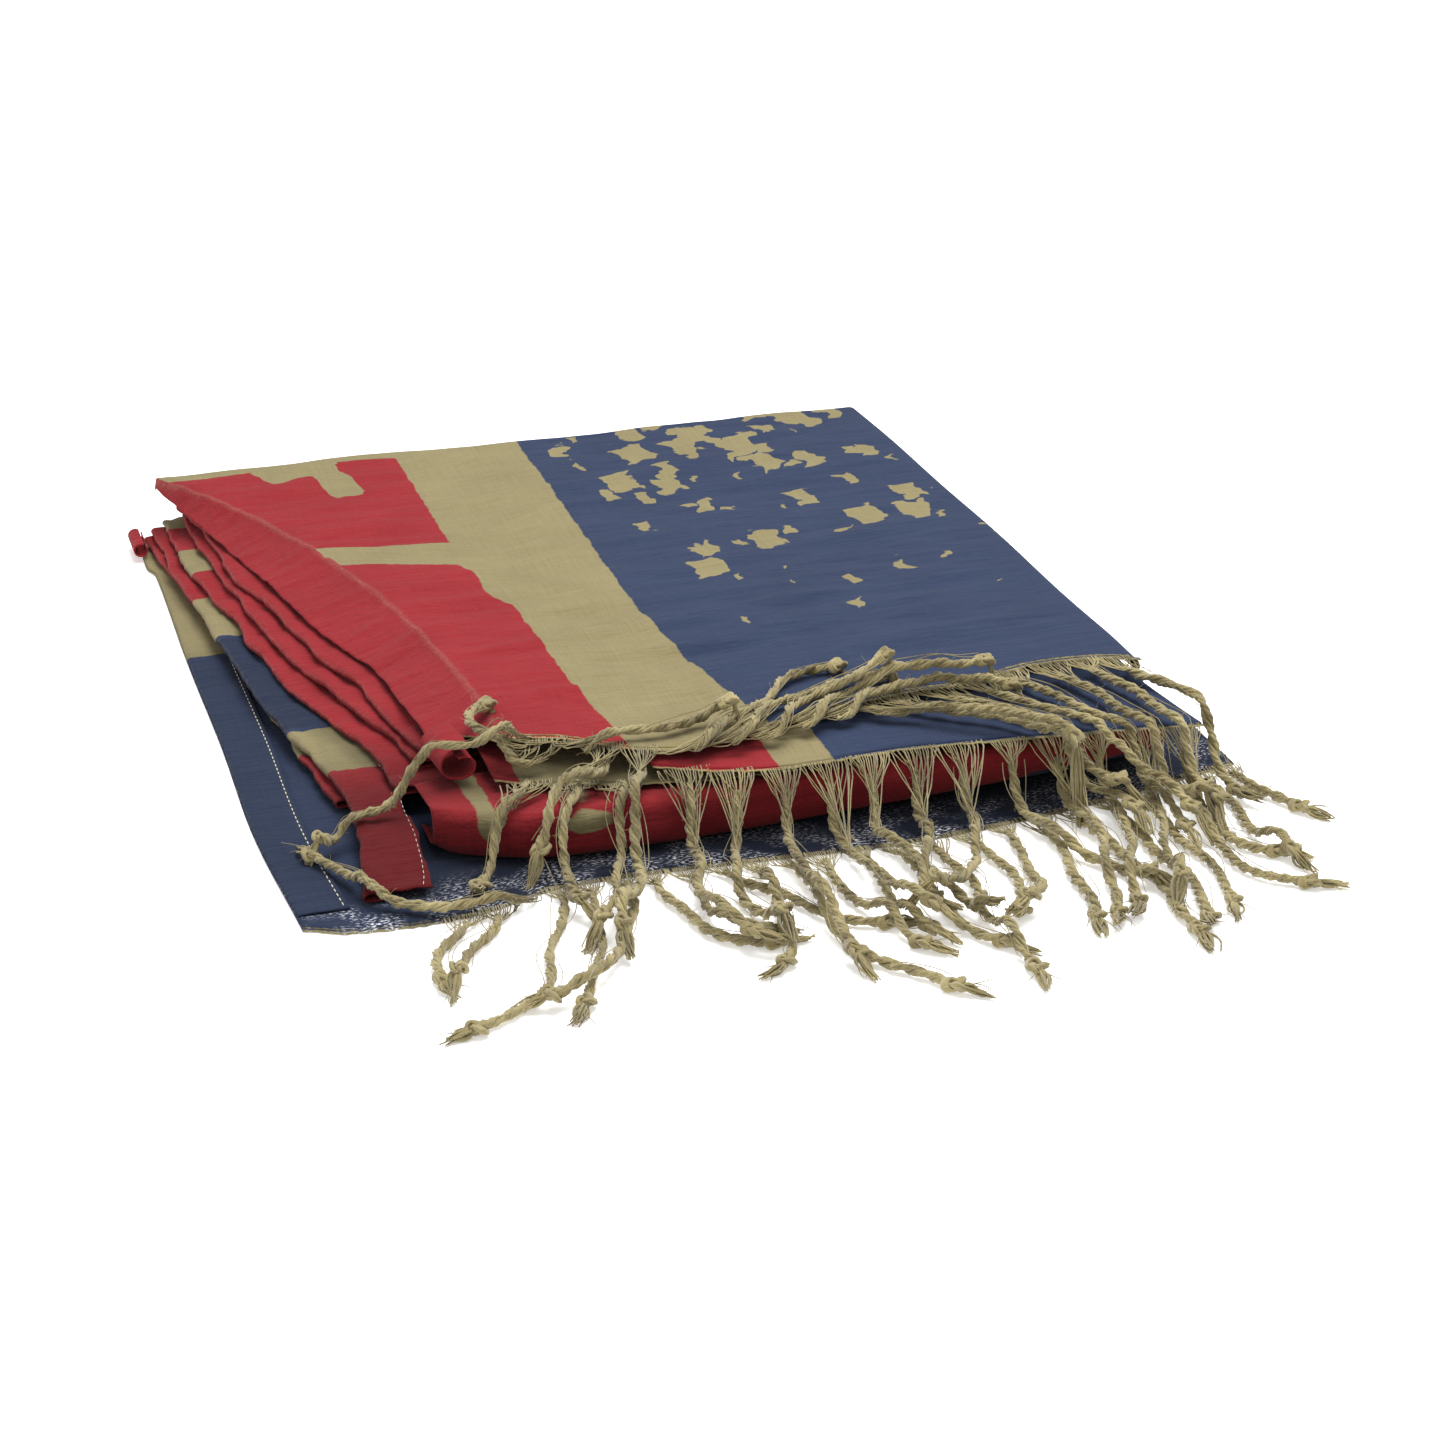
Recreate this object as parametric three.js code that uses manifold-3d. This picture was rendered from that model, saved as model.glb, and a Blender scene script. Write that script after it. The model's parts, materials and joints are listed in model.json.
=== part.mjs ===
// A fringed cotton scarf, folded to a low stack and laid flat on a surface.
// Millimetres, +Z up. The fringed ends are at -Y and the pressed folds show at -X.
// The origin is the middle of the footprint, on the surface that the scarf lies on.
import * as THREE from 'three';
import { mergeVertices } from 'three/addons/utils/BufferGeometryUtils.js';
import Module from 'manifold-3d';

const wasm = await Module();
wasm.setup();

// Driving sizes
const clothWall = 1.1;        // thin voile, drawn as a wall that stands up to handling
const parting = 0.35;         // air between pieces that touch
const foldHeight = 2.7;       // a pressed fold: two walls and the air between them
const foldDepth = 34;         // how far it reaches into the stack from its edge
const stackTop = 27.6;        // top face of the top sheet
const frontEdgeWidth = 4.5;   // unprinted strip that the fringe grows from
const hemWidth = 15;          // turned side hem
const cordRadius = 1.8;       // twisted fringe cord
const cordSpacing = 5.1;      // least distance between the middles of two cords
const fanWidth = 4.7;         // half width of the warp threads that gather into a cord
const fanLength = 11;         // and the length in which they gather

const cottonTan = 0xae9f74;
const cottonRed = 0xa52c33;
const cottonNavy = 0x2f3960;

const table = (columns, rows) =>
  rows.map(row => Object.fromEntries(columns.map((name, index) => [name, row[index]])));

// Left edges of the pressed folds, from the back of the stack to the front: where the edge is, its
// middle height, and how far the fold reaches into the stack from there. The second one from below runs
// out to the front, where it narrows and turns down over the bottom stretch.
const foldColumns = ['y', 'x', 'z', 'depth'];
const foldEdges = {
  fold_6: table(foldColumns, [
    [207, -154, 3.75, foldDepth], [150, -147, 3.75, foldDepth], [49, -138, 3.75, foldDepth],
    [5, -134, 3.6, foldDepth], [-30, -131, 3.3, foldDepth],
  ]),
  fold_5: table(foldColumns, [
    [207, -151, 6.8, foldDepth], [165, -150, 6.8, foldDepth], [134, -148, 6.8, foldDepth],
    [98, -145, 6.8, foldDepth], [48, -140, 6.8, foldDepth], [15, -136, 6.8, foldDepth],
    [-12, -131, 6.8, foldDepth], [-26, -128.5, 6.8, foldDepth], [-40, -128, 6.6, 16],
    [-58, -129, 5.8, 17], [-74, -131, 4.4, 18], [-91, -134, 3.0, 20],
  ]),
  fold_4: table(foldColumns, [
    [206, -147, 9.85, foldDepth], [163, -146, 9.85, foldDepth], [140, -143, 9.85, foldDepth],
    [98, -137, 9.85, foldDepth], [48, -131, 9.85, foldDepth], [18, -123, 9.85, foldDepth],
    [-6, -116, 9.85, foldDepth], [-40, -113, 9.85, foldDepth],
  ]),
  fold_3: table(foldColumns, [
    [203, -140, 12.9, foldDepth], [167, -139, 12.9, foldDepth], [134, -136, 12.9, foldDepth],
    [108, -133, 12.9, foldDepth], [85, -130, 12.9, foldDepth], [61, -127, 12.9, foldDepth],
    [39, -121, 12.9, foldDepth], [18, -116, 12.9, foldDepth], [0, -111, 12.9, foldDepth],
    [-30, -104, 12.9, foldDepth],
  ]),
  fold_2: table(foldColumns, [
    [203, -141, 15.95, foldDepth], [177, -137, 15.95, foldDepth], [137, -134, 15.95, foldDepth],
    [109, -129, 15.95, foldDepth], [80, -123, 15.95, foldDepth], [53, -119, 15.95, foldDepth],
    [29, -111, 15.95, foldDepth], [-5, -107, 15.95, foldDepth], [-30, -102, 15.95, foldDepth],
  ]),
};
const foldColours = {
  fold_6: cottonRed,
  fold_5: cottonNavy,
  fold_4: cottonRed,
  fold_3: cottonRed,
  fold_2: cottonRed,
};

// The top sheet turns down at a slanting crease on the left, as a band that widens to the front.
const topCrease = table(['y', 'x'], [
  [207, -146], [159, -124], [142, -118], [109, -110], [79, -102], [54, -96], [31, -91], [0, -86],
  [-50, -82]]);
const bandEdge = table(['y', 'x', 'z'], [
  [207, -149, 23.5], [186, -142, 20.5], [170, -137, 19.4], [117, -126, 19.2], [66, -117, 19.2],
  [42, -111, 19.2], [20, -105, 19.2], [-8, -103, 19.4], [-32, -101, 20.4]]);

// Front edges, from left to right. The height is that of the cloth's upper face at the edge.
const frontEdges = {
  base_sheet: table(['x', 'y', 'z'], [
    [-153, -98, 1.2], [-138, -104, 1.2], [-106, -104, 1.2], [-78, -95, 1.2], [-30, -96, 1.2],
    [21, -99, 1.2], [60, -96, 1.2], [96, -90, 1.4], [141, -79, 2.4]]),
  third_sheet: table(['x', 'y', 'z'], [
    [-88, -58, 19.0], [-78, -63, 18.6], [-66, -66, 18.2], [-50, -72, 18.6], [-28, -77, 19.2],
    [0, -79, 19.6]]),
  second_sheet: table(['x', 'y', 'z'], [
    [-44, -72, 23.2], [-26, -80, 23.0], [-8, -84, 23.0], [30, -83, 23.2], [60, -86, 23.2],
    [90, -89, 23.0], [122, -93, 22.6]]),
  top_sheet: table(['x', 'y', 'z'], [
    [-102, -33, 27.2], [-92, -36, 27.2], [-84, -46, 27.2], [-67, -53, 27.4], [-47, -66, 26.8],
    [-29, -70, 26.6], [-7, -64, 27.0], [6, -60, 27.2], [40, -54, 27.6], [60, -53, 27.6], [86, -46, 27.6],
    [110, -47, 27.4], [121, -51, 27.0]]),
};

// Reads a table along one of its columns, on a smooth curve through its rows.
function follow(rows, key, at, value) {
  const sorted = [...rows].sort((a, b) => a[key] - b[key]);
  const last = sorted.length - 1;
  const reach = THREE.MathUtils.clamp(at, sorted[0][key], sorted[last][key]);
  const index = Math.min(sorted.findLastIndex(row => row[key] <= reach), last - 1);
  const [before, from, to, after] = [index - 1, index, index + 1, index + 2]
    .map(place => sorted[THREE.MathUtils.clamp(place, 0, last)]);
  const span = to[key] - from[key];
  const share = (reach - from[key]) / span;
  const slopeFrom = (to[value] - before[value]) / (to[key] - before[key]) * span;
  const slopeTo = (after[value] - from[value]) / (after[key] - from[key]) * span;
  const square = share * share;
  const cube = square * share;
  return (2 * cube - 3 * square + 1) * from[value] + (cube - 2 * square + share) * slopeFrom
    + (3 * square - 2 * cube) * to[value] + (cube - square) * slopeTo;
}

const steps = (from, to, count) =>
  Array.from({ length: count + 1 }, (_, index) => from + (to - from) * index / count);

const smoothstep = THREE.MathUtils.smoothstep;

// Closed solids
function closedGeometry(points, triangles) {
  const geometry = new THREE.BufferGeometry().setFromPoints(points);
  geometry.setIndex(triangles.flat());
  return geometry;
}

// A wall of cloth from a grid of points on its outer face. Rows run one way and columns the other, so
// that row direction x column direction points out of the cloth.
function wallOfCloth(rows, thickness = clothWall) {
  const lastRow = rows.length - 1;
  const lastColumn = rows[0].length - 1;
  const inner = rows.map((row, i) => row.map((point, j) => {
    const along = rows[Math.min(i + 1, lastRow)][j].clone().sub(rows[Math.max(i - 1, 0)][j]);
    const across = row[Math.min(j + 1, lastColumn)].clone().sub(row[Math.max(j - 1, 0)]);
    return point.clone().addScaledVector(along.cross(across).normalize(), -thickness);
  }));
  const points = [...rows.flat(), ...inner.flat()];
  const width = lastColumn + 1;
  const innerStart = rows.length * width;
  const outerAt = (i, j) => i * width + j;
  const innerAt = (i, j) => innerStart + i * width + j;
  const triangles = [];
  const quad = (a, b, c, d) => triangles.push([a, b, c], [a, c, d]);
  for (let i = 0; i < lastRow; i++) {
    for (let j = 0; j < lastColumn; j++) {
      quad(outerAt(i, j), outerAt(i + 1, j), outerAt(i + 1, j + 1), outerAt(i, j + 1));
      quad(innerAt(i, j), innerAt(i, j + 1), innerAt(i + 1, j + 1), innerAt(i + 1, j));
    }
    quad(outerAt(i + 1, 0), outerAt(i, 0), innerAt(i, 0), innerAt(i + 1, 0));
    quad(outerAt(i, lastColumn), outerAt(i + 1, lastColumn),
      innerAt(i + 1, lastColumn), innerAt(i, lastColumn));
  }
  for (let j = 0; j < lastColumn; j++) {
    quad(outerAt(0, j), outerAt(0, j + 1), innerAt(0, j + 1), innerAt(0, j));
    quad(outerAt(lastRow, j + 1), outerAt(lastRow, j), innerAt(lastRow, j), innerAt(lastRow, j + 1));
  }
  return closedGeometry(points, triangles);
}

// A solid through closed rings of equal count, turning left as seen from where the rings go.
function loft(rings) {
  const count = rings[0].length;
  const points = rings.flat();
  const triangles = [];
  for (let level = 0; level < rings.length - 1; level++) {
    for (let k = 0; k < count; k++) {
      const next = (k + 1) % count;
      const low = level * count;
      const high = low + count;
      triangles.push([low + k, low + next, high + next], [low + k, high + next, high + k]);
    }
  }
  const middle = ring => ring.reduce((sum, p) => sum.add(p), new THREE.Vector3()).divideScalar(count);
  const start = points.push(middle(rings[0])) - 1;
  const end = points.push(middle(rings.at(-1))) - 1;
  const top = (rings.length - 1) * count;
  for (let k = 0; k < count; k++) {
    const next = (k + 1) % count;
    triangles.push([start, next, k], [end, top + k, top + next]);
  }
  return closedGeometry(points, triangles);
}

function toManifold(geometry) {
  const bare = geometry.clone();
  bare.deleteAttribute('normal');
  bare.deleteAttribute('uv');
  const merged = mergeVertices(bare, 1e-4);
  return new wasm.Manifold(new wasm.Mesh({
    numProp: 3,
    vertProperties: new Float32Array(merged.attributes.position.array),
    triVerts: new Uint32Array(merged.index.array),
  }));
}

function fromManifold(solid) {
  const mesh = solid.getMesh();
  const geometry = new THREE.BufferGeometry();
  geometry.setAttribute('position', new THREE.BufferAttribute(new Float32Array(mesh.vertProperties), 3));
  geometry.setIndex(new THREE.BufferAttribute(new Uint32Array(mesh.triVerts), 1));
  return geometry;
}

const scarf = new THREE.Group();

function addPiece(name, geometry, color) {
  const material = new THREE.MeshStandardMaterial({ color, roughness: 0.85, metalness: 0 });
  const mesh = new THREE.Mesh(geometry, material);
  mesh.name = name;
  scarf.add(mesh);
  return mesh;
}

// Each sheet is a grid of points, with its front edge as the first row and its right edge as the first
// point of each row, so that the fringe grows from the very points of the edge.
const edgeSteps = 20;
const stretchWall = 1.0;      // walls of the folds between the sheets

// The bottom stretch lies flat on the surface. Its left edge keeps the woven line of the cloth, with a
// small step where the crosswise crease is, and its front edge waves a little.
const baseTop = 1.2;
const baseBack = 212;
const baseLeft = table(['y', 'x'], [
  [212, -155], [185, -156], [178, -154], [100, -155], [24, -155], [-39, -156], [-98, -153]]);

function baseSheet() {
  const edge = frontEdges.base_sheet;
  const [left, right] = [edge[0].x, edge.at(-1).x];
  return steps(0, 1, 9).map(share => steps(right, left, edgeSteps).map(x => {
    const front = follow(edge, 'x', x, 'y');
    const y = front + share * (baseBack - front);
    const shift = (follow(baseLeft, 'y', y, 'x') - left) * (right - x) / (right - left);
    return new THREE.Vector3(x + shift, y, baseTop);
  }));
}

// The turned hem is a second layer on the base's left edge.
const hemWall = 0.5;

function sideHem() {
  const rows = steps(-92, 205, 12).map(y => {
    const left = follow(baseLeft, 'y', y, 'x') + 0.6;
    return [hemWidth, hemWidth / 2, 0].map(inward =>
      new THREE.Vector3(left + inward, y, baseTop + parting + hemWall));
  });
  return wallOfCloth(rows, hemWall);
}

// A pressed fold: one wall that runs out to the edge, turns round it and runs back below itself.
function pressedFold(edge) {
  const back = edge[0].y;
  const front = edge.at(-1).y;
  const half = foldHeight / 2;
  const rows = steps(front, back, 15).map(y => {
    const x = follow(edge, 'y', y, 'x');
    const z = follow(edge, 'y', y, 'z');
    const depth = follow(edge, 'y', y, 'depth');
    const bend = steps(90, 270, 4).map(THREE.MathUtils.degToRad)
      .map(angle => new THREE.Vector3(x + half + half * Math.cos(angle), y, z + half * Math.sin(angle)));
    const upper = new THREE.Vector3(x + depth, y, z + half);
    const lower = new THREE.Vector3(x + depth, y, z - half);
    return [upper, ...bend, lower];
  });
  return wallOfCloth(rows, stretchWall);
}

// The hidden stretches share one rounded body, layered at its edges. Each row is a layer, with where it
// ends on each side. Its left side keeps clear of the pressed folds. A layer's shape in section is given
// by how far up it a ring lies and how deep in the groove between layers.
const hiddenLayers = table(['fold', 'bottom', 'top', 'front', 'right', 'back'], [
  ['fold_6', 1.6, 5.1, -40, 133, 208],
  ['fold_5', 5.4, 8.1, -40, 128, 206],
  ['fold_4', 8.5, 11.2, -40, 124, 207],
  ['fold_3', 11.5, 14.2, -40, 120, 205],
  ['fold_2', 14.6, 17.3, -40, 121, 206],
  ['band', 17.7, 21.4, -24, 112, 204],
  ['crease', 21.8, 25.6, -24, 110, 202],
]);
const cornerRadius = 9;
const grooveDepth = 2.4;
const clearOfFold = 2.2;      // the body's outline is cut straighter than the folds behind which it starts
const clearOfBand = 7;
const clearOfCrease = 5;

// Where the hidden body starts, behind a fold, behind the band or under the top crease.
function hiddenLeft(layer, y) {
  if (layer === 'band') return follow(bandEdge, 'y', y, 'x') + clearOfBand;
  if (layer === 'crease') return follow(topCrease, 'y', y, 'x') + clearOfCrease;
  return follow(foldEdges[layer], 'y', y, 'x') + foldDepth + clearOfFold;
}

function roundedOutline(corners) {
  return corners.flatMap((corner, k) => {
    const from = corners.at(k - 1);
    const to = corners[(k + 1) % corners.length];
    if (!corner.radius) return [new THREE.Vector2(corner.x, corner.y)];
    const here = new THREE.Vector2(corner.x, corner.y);
    const towards = other =>
      new THREE.Vector2(other.x, other.y).sub(here).setLength(corner.radius).add(here);
    return new THREE.QuadraticBezierCurve(towards(from), here, towards(to)).getPoints(4);
  });
}

function hiddenBody() {
  const layerShape = [[0, 1], [0.22, 0.2], [0.78, 0.2], [1, 1]];
  const rings = hiddenLayers.flatMap(layer => layerShape.map(([rise, groove]) => {
    const inset = grooveDepth * groove;
    const front = layer.front + inset;
    const back = layer.back - inset;
    const right = layer.right - inset;
    const radius = cornerRadius;
    const leftSide = steps(back - 30, front + 30, 5)
      .map(y => ({ x: hiddenLeft(layer.fold, y) + inset, y }));
    const outline = roundedOutline([
      { x: hiddenLeft(layer.fold, front) + inset, y: front, radius },
      { x: right + 2, y: front, radius },
      { x: right + 1, y: (front + back) / 2 },
      { x: right, y: back, radius },
      { x: hiddenLeft(layer.fold, back) + inset, y: back, radius },
      ...leftSide,
    ]);
    const z = layer.bottom + rise * (layer.top - layer.bottom);
    return outline.map(point => new THREE.Vector3(point.x, point.y, z));
  }));
  return loft(rings);
}

// The top sheet: right edge rolled under, a flat top with slack waves, then the crease and the band. At
// the back it rolls down over the layers below. Roll rows: how far back, and how far down.
const topRight = 118;
const topBack = 205;
const topSideFront = -45;     // where the crease and the band begin in front
const frontSag = 26;          // the front edge hangs a little below the flat top over this width
const rollRadius = 3.4;
const backRoll = [[2.2, 1.4], [3.2, 4.6]];

function topHeight(x, y) {
  return stackTop + 0.35 * Math.sin(x / 23 + y / 41) + 0.3 * Math.sin(y / 17 - x / 60);
}

function topSheet() {
  const edge = frontEdges.top_sheet;
  const flatRows = steps(0, 1, 11).map(share => [share, 0, 0]);
  const rolledRows = backRoll.map(([back, drop]) => [1, back, drop]);
  return [...flatRows, ...rolledRows].map(([share, rolledBack, rolledDown]) => {
    const sideY = THREE.MathUtils.lerp(topSideFront, topBack, share);
    const crease = follow(topCrease, 'y', sideY, 'x');
    const bandX = follow(bandEdge, 'y', sideY, 'x');
    const bandFall = stackTop - follow(bandEdge, 'y', sideY, 'z');
    const place = (x, drop) => {
      const front = follow(edge, 'x', x, 'y');
      const y = front + share * (topBack - front);
      const nearEdge = 1 - smoothstep(y - front, 0, frontSag);
      const height = THREE.MathUtils.lerp(topHeight(x, y), follow(edge, 'x', x, 'z'), nearEdge);
      const down = rolledDown * (1 - Math.min(drop / 8, 0.85));
      return new THREE.Vector3(x, y + rolledBack, height - drop - down);
    };
    const rightRoll = steps(-30, 90, 3).map(THREE.MathUtils.degToRad)
      .map(angle => place(topRight + rollRadius * Math.cos(angle), rollRadius * (1 - Math.sin(angle))));
    return [
      place(topRight - 2, 2 * rollRadius),
      ...rightRoll,
      ...steps(topRight - 12, crease + 5, 9).map(x => place(x, 0)),
      place(crease, 0.7),
      place(THREE.MathUtils.lerp(crease, bandX, 0.5), bandFall * 0.42),
      place(bandX, bandFall),
    ];
  });
}

// A fringed sheet under the top one. It shows as a lip in front and runs back to the hidden body, where
// its right side tapers.
function fringedSheet(name, back) {
  const edge = frontEdges[name];
  const [left, right] = [edge[0].x, edge.at(-1).x];
  return [0, 0.3, 0.65, 1].map(share => steps(right, left, edgeSteps).map(x => {
    const front = follow(edge, 'x', x, 'y');
    const z = follow(edge, 'x', x, 'z');
    const inward = back.taper * share * (x - left) / (right - left);
    return new THREE.Vector3(
      x - inward, front + share * (back.y - front), z + (back.z - z) * smoothstep(share, 0, 0.9));
  }));
}

// The wide fold that faces front below the fringed sheets, from left to right: where its face is, how
// high its upper edge stands and how low the face reaches.
const frontFold = table(['x', 'y', 'top', 'bottom'], [
  [-108.5, -67, 15.4, 3.4], [-103, -72, 16.0, 1.9], [-92, -78, 16.4, 1.8], [-78, -83, 16.6, 1.8],
  [-50, -84, 17.0, 1.8], [-20, -84, 17.6, 2.2], [20, -85, 18.2, 4.5], [55, -86, 18.6, 6.6],
  [90, -84, 18.6, 7.6], [116, -80, 18.2, 7.8]]);
const frontFoldBack = -43;
const frontFoldDip = 2.4;     // its upper wall falls by this to the back
const frontFoldRound = 4;     // and its face is rounded by this
const frontFoldFoot = 1.75;   // no part reaches lower than this, over the bottom stretch

function wideFrontFold() {
  const rows = steps(frontFold.at(-1).x, frontFold[0].x, 18).map(x => {
    const face = follow(frontFold, 'x', x, 'y');
    const top = follow(frontFold, 'x', x, 'top');
    const bottom = Math.max(follow(frontFold, 'x', x, 'bottom'), frontFoldFoot);
    const half = (top - bottom) / 2;
    const bulge = Math.min(half, frontFoldRound);
    const bend = steps(90, 270, 6).map(THREE.MathUtils.degToRad).map(angle => new THREE.Vector3(
      x, face + bulge + bulge * Math.cos(angle), (top + bottom) / 2 + half * Math.sin(angle)));
    const back = new THREE.Vector3(x, frontFoldBack, top - frontFoldDip);
    return [back, ...bend, new THREE.Vector3(x, frontFoldBack, bottom)];
  });
  return wallOfCloth(rows, stretchWall);
}

// A lower fold that shows in the shade to the right, below the wide one.
const lowFold = table(['x', 'y', 'z'], [[22, -74, 3.1], [45, -76, 3.8], [80, -75, 4.6], [118, -70, 4.8]]);
const lowFoldHeight = 2.4;
const thinWall = 0.9;         // walls of the low fold and of the rolled ends

function lowFrontFold() {
  const half = lowFoldHeight / 2;
  const rows = steps(lowFold.at(-1).x, lowFold[0].x, 8).map(x => {
    const face = follow(lowFold, 'x', x, 'y');
    const z = follow(lowFold, 'x', x, 'z');
    const bend = steps(90, 270, 4).map(THREE.MathUtils.degToRad).map(angle =>
      new THREE.Vector3(x, face + half + half * Math.cos(angle), z + half * Math.sin(angle)));
    const [upper, lower] = [half, -half].map(rise => new THREE.Vector3(x, frontFoldBack, z + rise));
    return [upper, ...bend, lower];
  });
  return wallOfCloth(rows, thinWall);
}

// The front end of the band curls into an open roll. Degrees run over its top, down its left side and
// round inside, while the radius falls.
const curl = { front: -53, back: -36, x: -96, lean: -0.1, z: 21.2, outer: 5.6, inner: 2.4 };

function curledEnd() {
  const turns = steps(70, 470, 14);
  const rows = steps(curl.front, curl.back, 3).map(y => turns.map((degrees, k) => {
    const angle = THREE.MathUtils.degToRad(degrees);
    const radius = THREE.MathUtils.lerp(curl.outer, curl.inner, k / (turns.length - 1));
    const middle = curl.x + (y - curl.front) * curl.lean;
    return new THREE.Vector3(middle + radius * Math.cos(angle), y, curl.z + radius * Math.sin(angle));
  }));
  return wallOfCloth(rows, thinWall);
}

// A small end of the sheet's corner rolls out low at the back left.
const cornerRoll = { front: 193, back: 209, x: -156.6, z: 5.0, radius: 2.6 };

function rolledCorner() {
  const rows = steps(cornerRoll.front, cornerRoll.back, 2).map(y => steps(60, 390, 9).map(degrees => {
    const angle = THREE.MathUtils.degToRad(degrees);
    const across = new THREE.Vector3(Math.cos(angle), 0, Math.sin(angle)).multiplyScalar(cornerRoll.radius);
    return across.add(new THREE.Vector3(cornerRoll.x, y, cornerRoll.z));
  }));
  return wallOfCloth(rows, thinWall);
}

// Fringe. A row for each cord, in the order in which they are laid: where it leaves the edge, its
// heading at the root (0 is straight out to the front, + is to the right), how far it turns along its
// length, how far its end hooks, its length, and how thick the knot at its end is.
const fringeColumns = ['at', 'heading', 'turn', 'hook', 'length', 'knot'];
const fringes = {
  base_sheet: table(fringeColumns, [
    [-108, -50, 30, 40, 48, 1.6],
    [-99, -32, 4, 0, 54, 1.2],
    [-80, -8, -36, -28, 96, 1.7],
    [-90, -84, -112, 10, 96, 1.0],
    [-71, -6, -22, -6, 80, 1.5],
    [-61, -6, -34, -56, 92, 1.5],
    [-52, -10, 52, 62, 70, 1.3],
    [-42, -10, 30, 74, 60, 1.5],
    [-32, 12, 46, 30, 72, 1.4],
    [-22, -4, 2, -54, 76, 1.3],
    [-12, -8, 26, 42, 104, 1.5],
    [-2, -6, 18, 44, 74, 1.6],
    [9, 10, -34, 60, 66, 1.3],
    [20, 2, -8, 54, 78, 1.5],
    [31, -6, 16, -18, 94, 1.8],
    [43, 10, -24, -20, 62, 1.4],
    [55, 0, -26, -30, 66, 1.5],
    [67, 2, -30, 16, 74, 1.4],
    [79, 4, 4, -18, 92, 1.3],
    [91, 0, 10, -30, 88, 1.4],
    [103, -6, 18, -24, 84, 1.3],
    [115, 0, 10, 50, 66, 1.5],
    [126, -4, 2, 14, 72, 1.4],
    [136, 10, 4, 20, 46, 1.4],
  ]),
  third_sheet: table(fringeColumns, [
    [-80, -50, 20, 20, 58, 1.4],
    [-66, -26, 20, 40, 70, 1.4],
    [-54, -16, -10, -30, 84, 1.4],
  ]),
  second_sheet: table(fringeColumns, [
    [-36, -14, 10, 72, 92, 1.3],
    [-23, -22, 40, -10, 86, 1.4],
    [-9, -12, 20, 6, 100, 1.4],
    [5, -8, 28, 50, 88, 1.3],
    [18, -6, 26, 44, 90, 1.4],
    [32, -14, -20, 82, 86, 1.4],
    [46, -2, -52, -60, 92, 1.3],
    [61, 8, 24, 30, 84, 1.5],
    [75, 2, -20, -24, 92, 1.4],
    [88, -8, -12, -26, 90, 1.3],
    [102, -16, 8, -30, 88, 1.4],
    [114, -10, 18, 80, 92, 1.3],
  ]),
  top_sheet: table(fringeColumns, [
    [112, 22, 0, 8, 78, 1.3],
    [102, 16, -4, -12, 88, 1.4],
    [90, 22, -10, 16, 92, 1.3],
    [77, 32, -20, -10, 96, 1.4],
    [64, 43, -24, 14, 94, 1.3],
    [51, 50, -30, -22, 92, 1.4],
    [38, 58, -30, 22, 88, 1.3],
    [25, 74, -40, -20, 82, 1.5],
    [12, 122, -46, -20, 78, 1.3],
    [0, 132, -56, -10, 84, 1.4],
    [-12, 146, -58, 0, 66, 1.3],
    [-24, 152, -64, -4, 82, 1.4],
    [-36, 160, -72, 12, 88, 1.2],
    [-46, -24, 4, 16, 96, 1.3],
    [-55, -58, 6, 24, 58, 1.6],
    [-64, 96, 10, -24, 66, 1.3],
    [-71, -96, -150, -60, 64, 1.5],
    [-80, -112, 60, 6, 94, 1.2],
  ]),
};

// What a cord of one sheet's fringe would lie on at a place: that sheet or one below it, the folds in
// front, or the bare surface. A sheet's strip and the bend of a fold reach a little beyond its edge.
const sheetsUpward = ['base_sheet', 'third_sheet', 'second_sheet', 'top_sheet'];
const stripReach = frontEdgeWidth + 2.5;
const liesOn = { bandEnd: 27.6, secondSheet: 24.8, thirdSheet: 20.6, frontFold: 19.4 };
const bandEndPlace = { right: -82, front: -56, left: 5 };
const frontFoldPlace = { left: -112, right: 118, ahead: 2.5 };
const turnedFoldPlace = { right: -108, front: -94, left: 3, above: 1.9 };
const hemInnerEdge = -137;

function surfaceUnder(x, y, sheet, beyondRoot) {
  const level = sheetsUpward.indexOf(sheet);
  const overSheet = name => {
    const edge = frontEdges[name];
    const onEdge = x > edge[0].x - 2 && x < edge.at(-1).x + 4 && y > follow(edge, 'x', x, 'y') - stripReach;
    return onEdge && level >= sheetsUpward.indexOf(name) && (beyondRoot || sheet !== name);
  };
  if (overSheet('top_sheet') && x > follow(topCrease, 'y', y, 'x') - 14) return topHeight(x, y) + 0.5;
  const band = bandEndPlace;
  const overBand = x < band.right && y > band.front && x > follow(bandEdge, 'y', y, 'x') - band.left;
  if (level > 0 && overBand) return liesOn.bandEnd;
  if (overSheet('second_sheet')) return liesOn.secondSheet;
  if (overSheet('third_sheet')) return liesOn.thirdSheet;
  const face = frontFoldPlace;
  const overFace = x > face.left && x < face.right && y > follow(frontFold, 'x', x, 'y') - face.ahead;
  if (level > 0 && overFace) return liesOn.frontFold;
  const turned = turnedFoldPlace;
  const overTurned = x > follow(foldEdges.fold_5, 'y', y, 'x') - turned.left && x < turned.right;
  if (overTurned && y > turned.front) return follow(foldEdges.fold_5, 'y', y, 'z') + turned.above;
  return overSheet('base_sheet') ? baseTop + parting + (x < hemInnerEdge ? hemWall : 0) : 0;
}

// Lays one cord on what is already there. Its route in plan comes from its row, and its height is the
// lowest that clears everything below it, with no stretch steeper than steepest.
const fineStep = 2;
const steepest = 2.3;
const cordStep = 7.5;
const rootRun = 9;            // a cord leaves the edge squarely and is clear of its strip after this
const bendRun = 15;           // and takes up its heading over this
const sway = 7;               // degrees by which it wavers
const smoothings = 4;
const rootInStrip = { ahead: frontEdgeWidth * 0.75, sunk: 0.5 };

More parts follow.
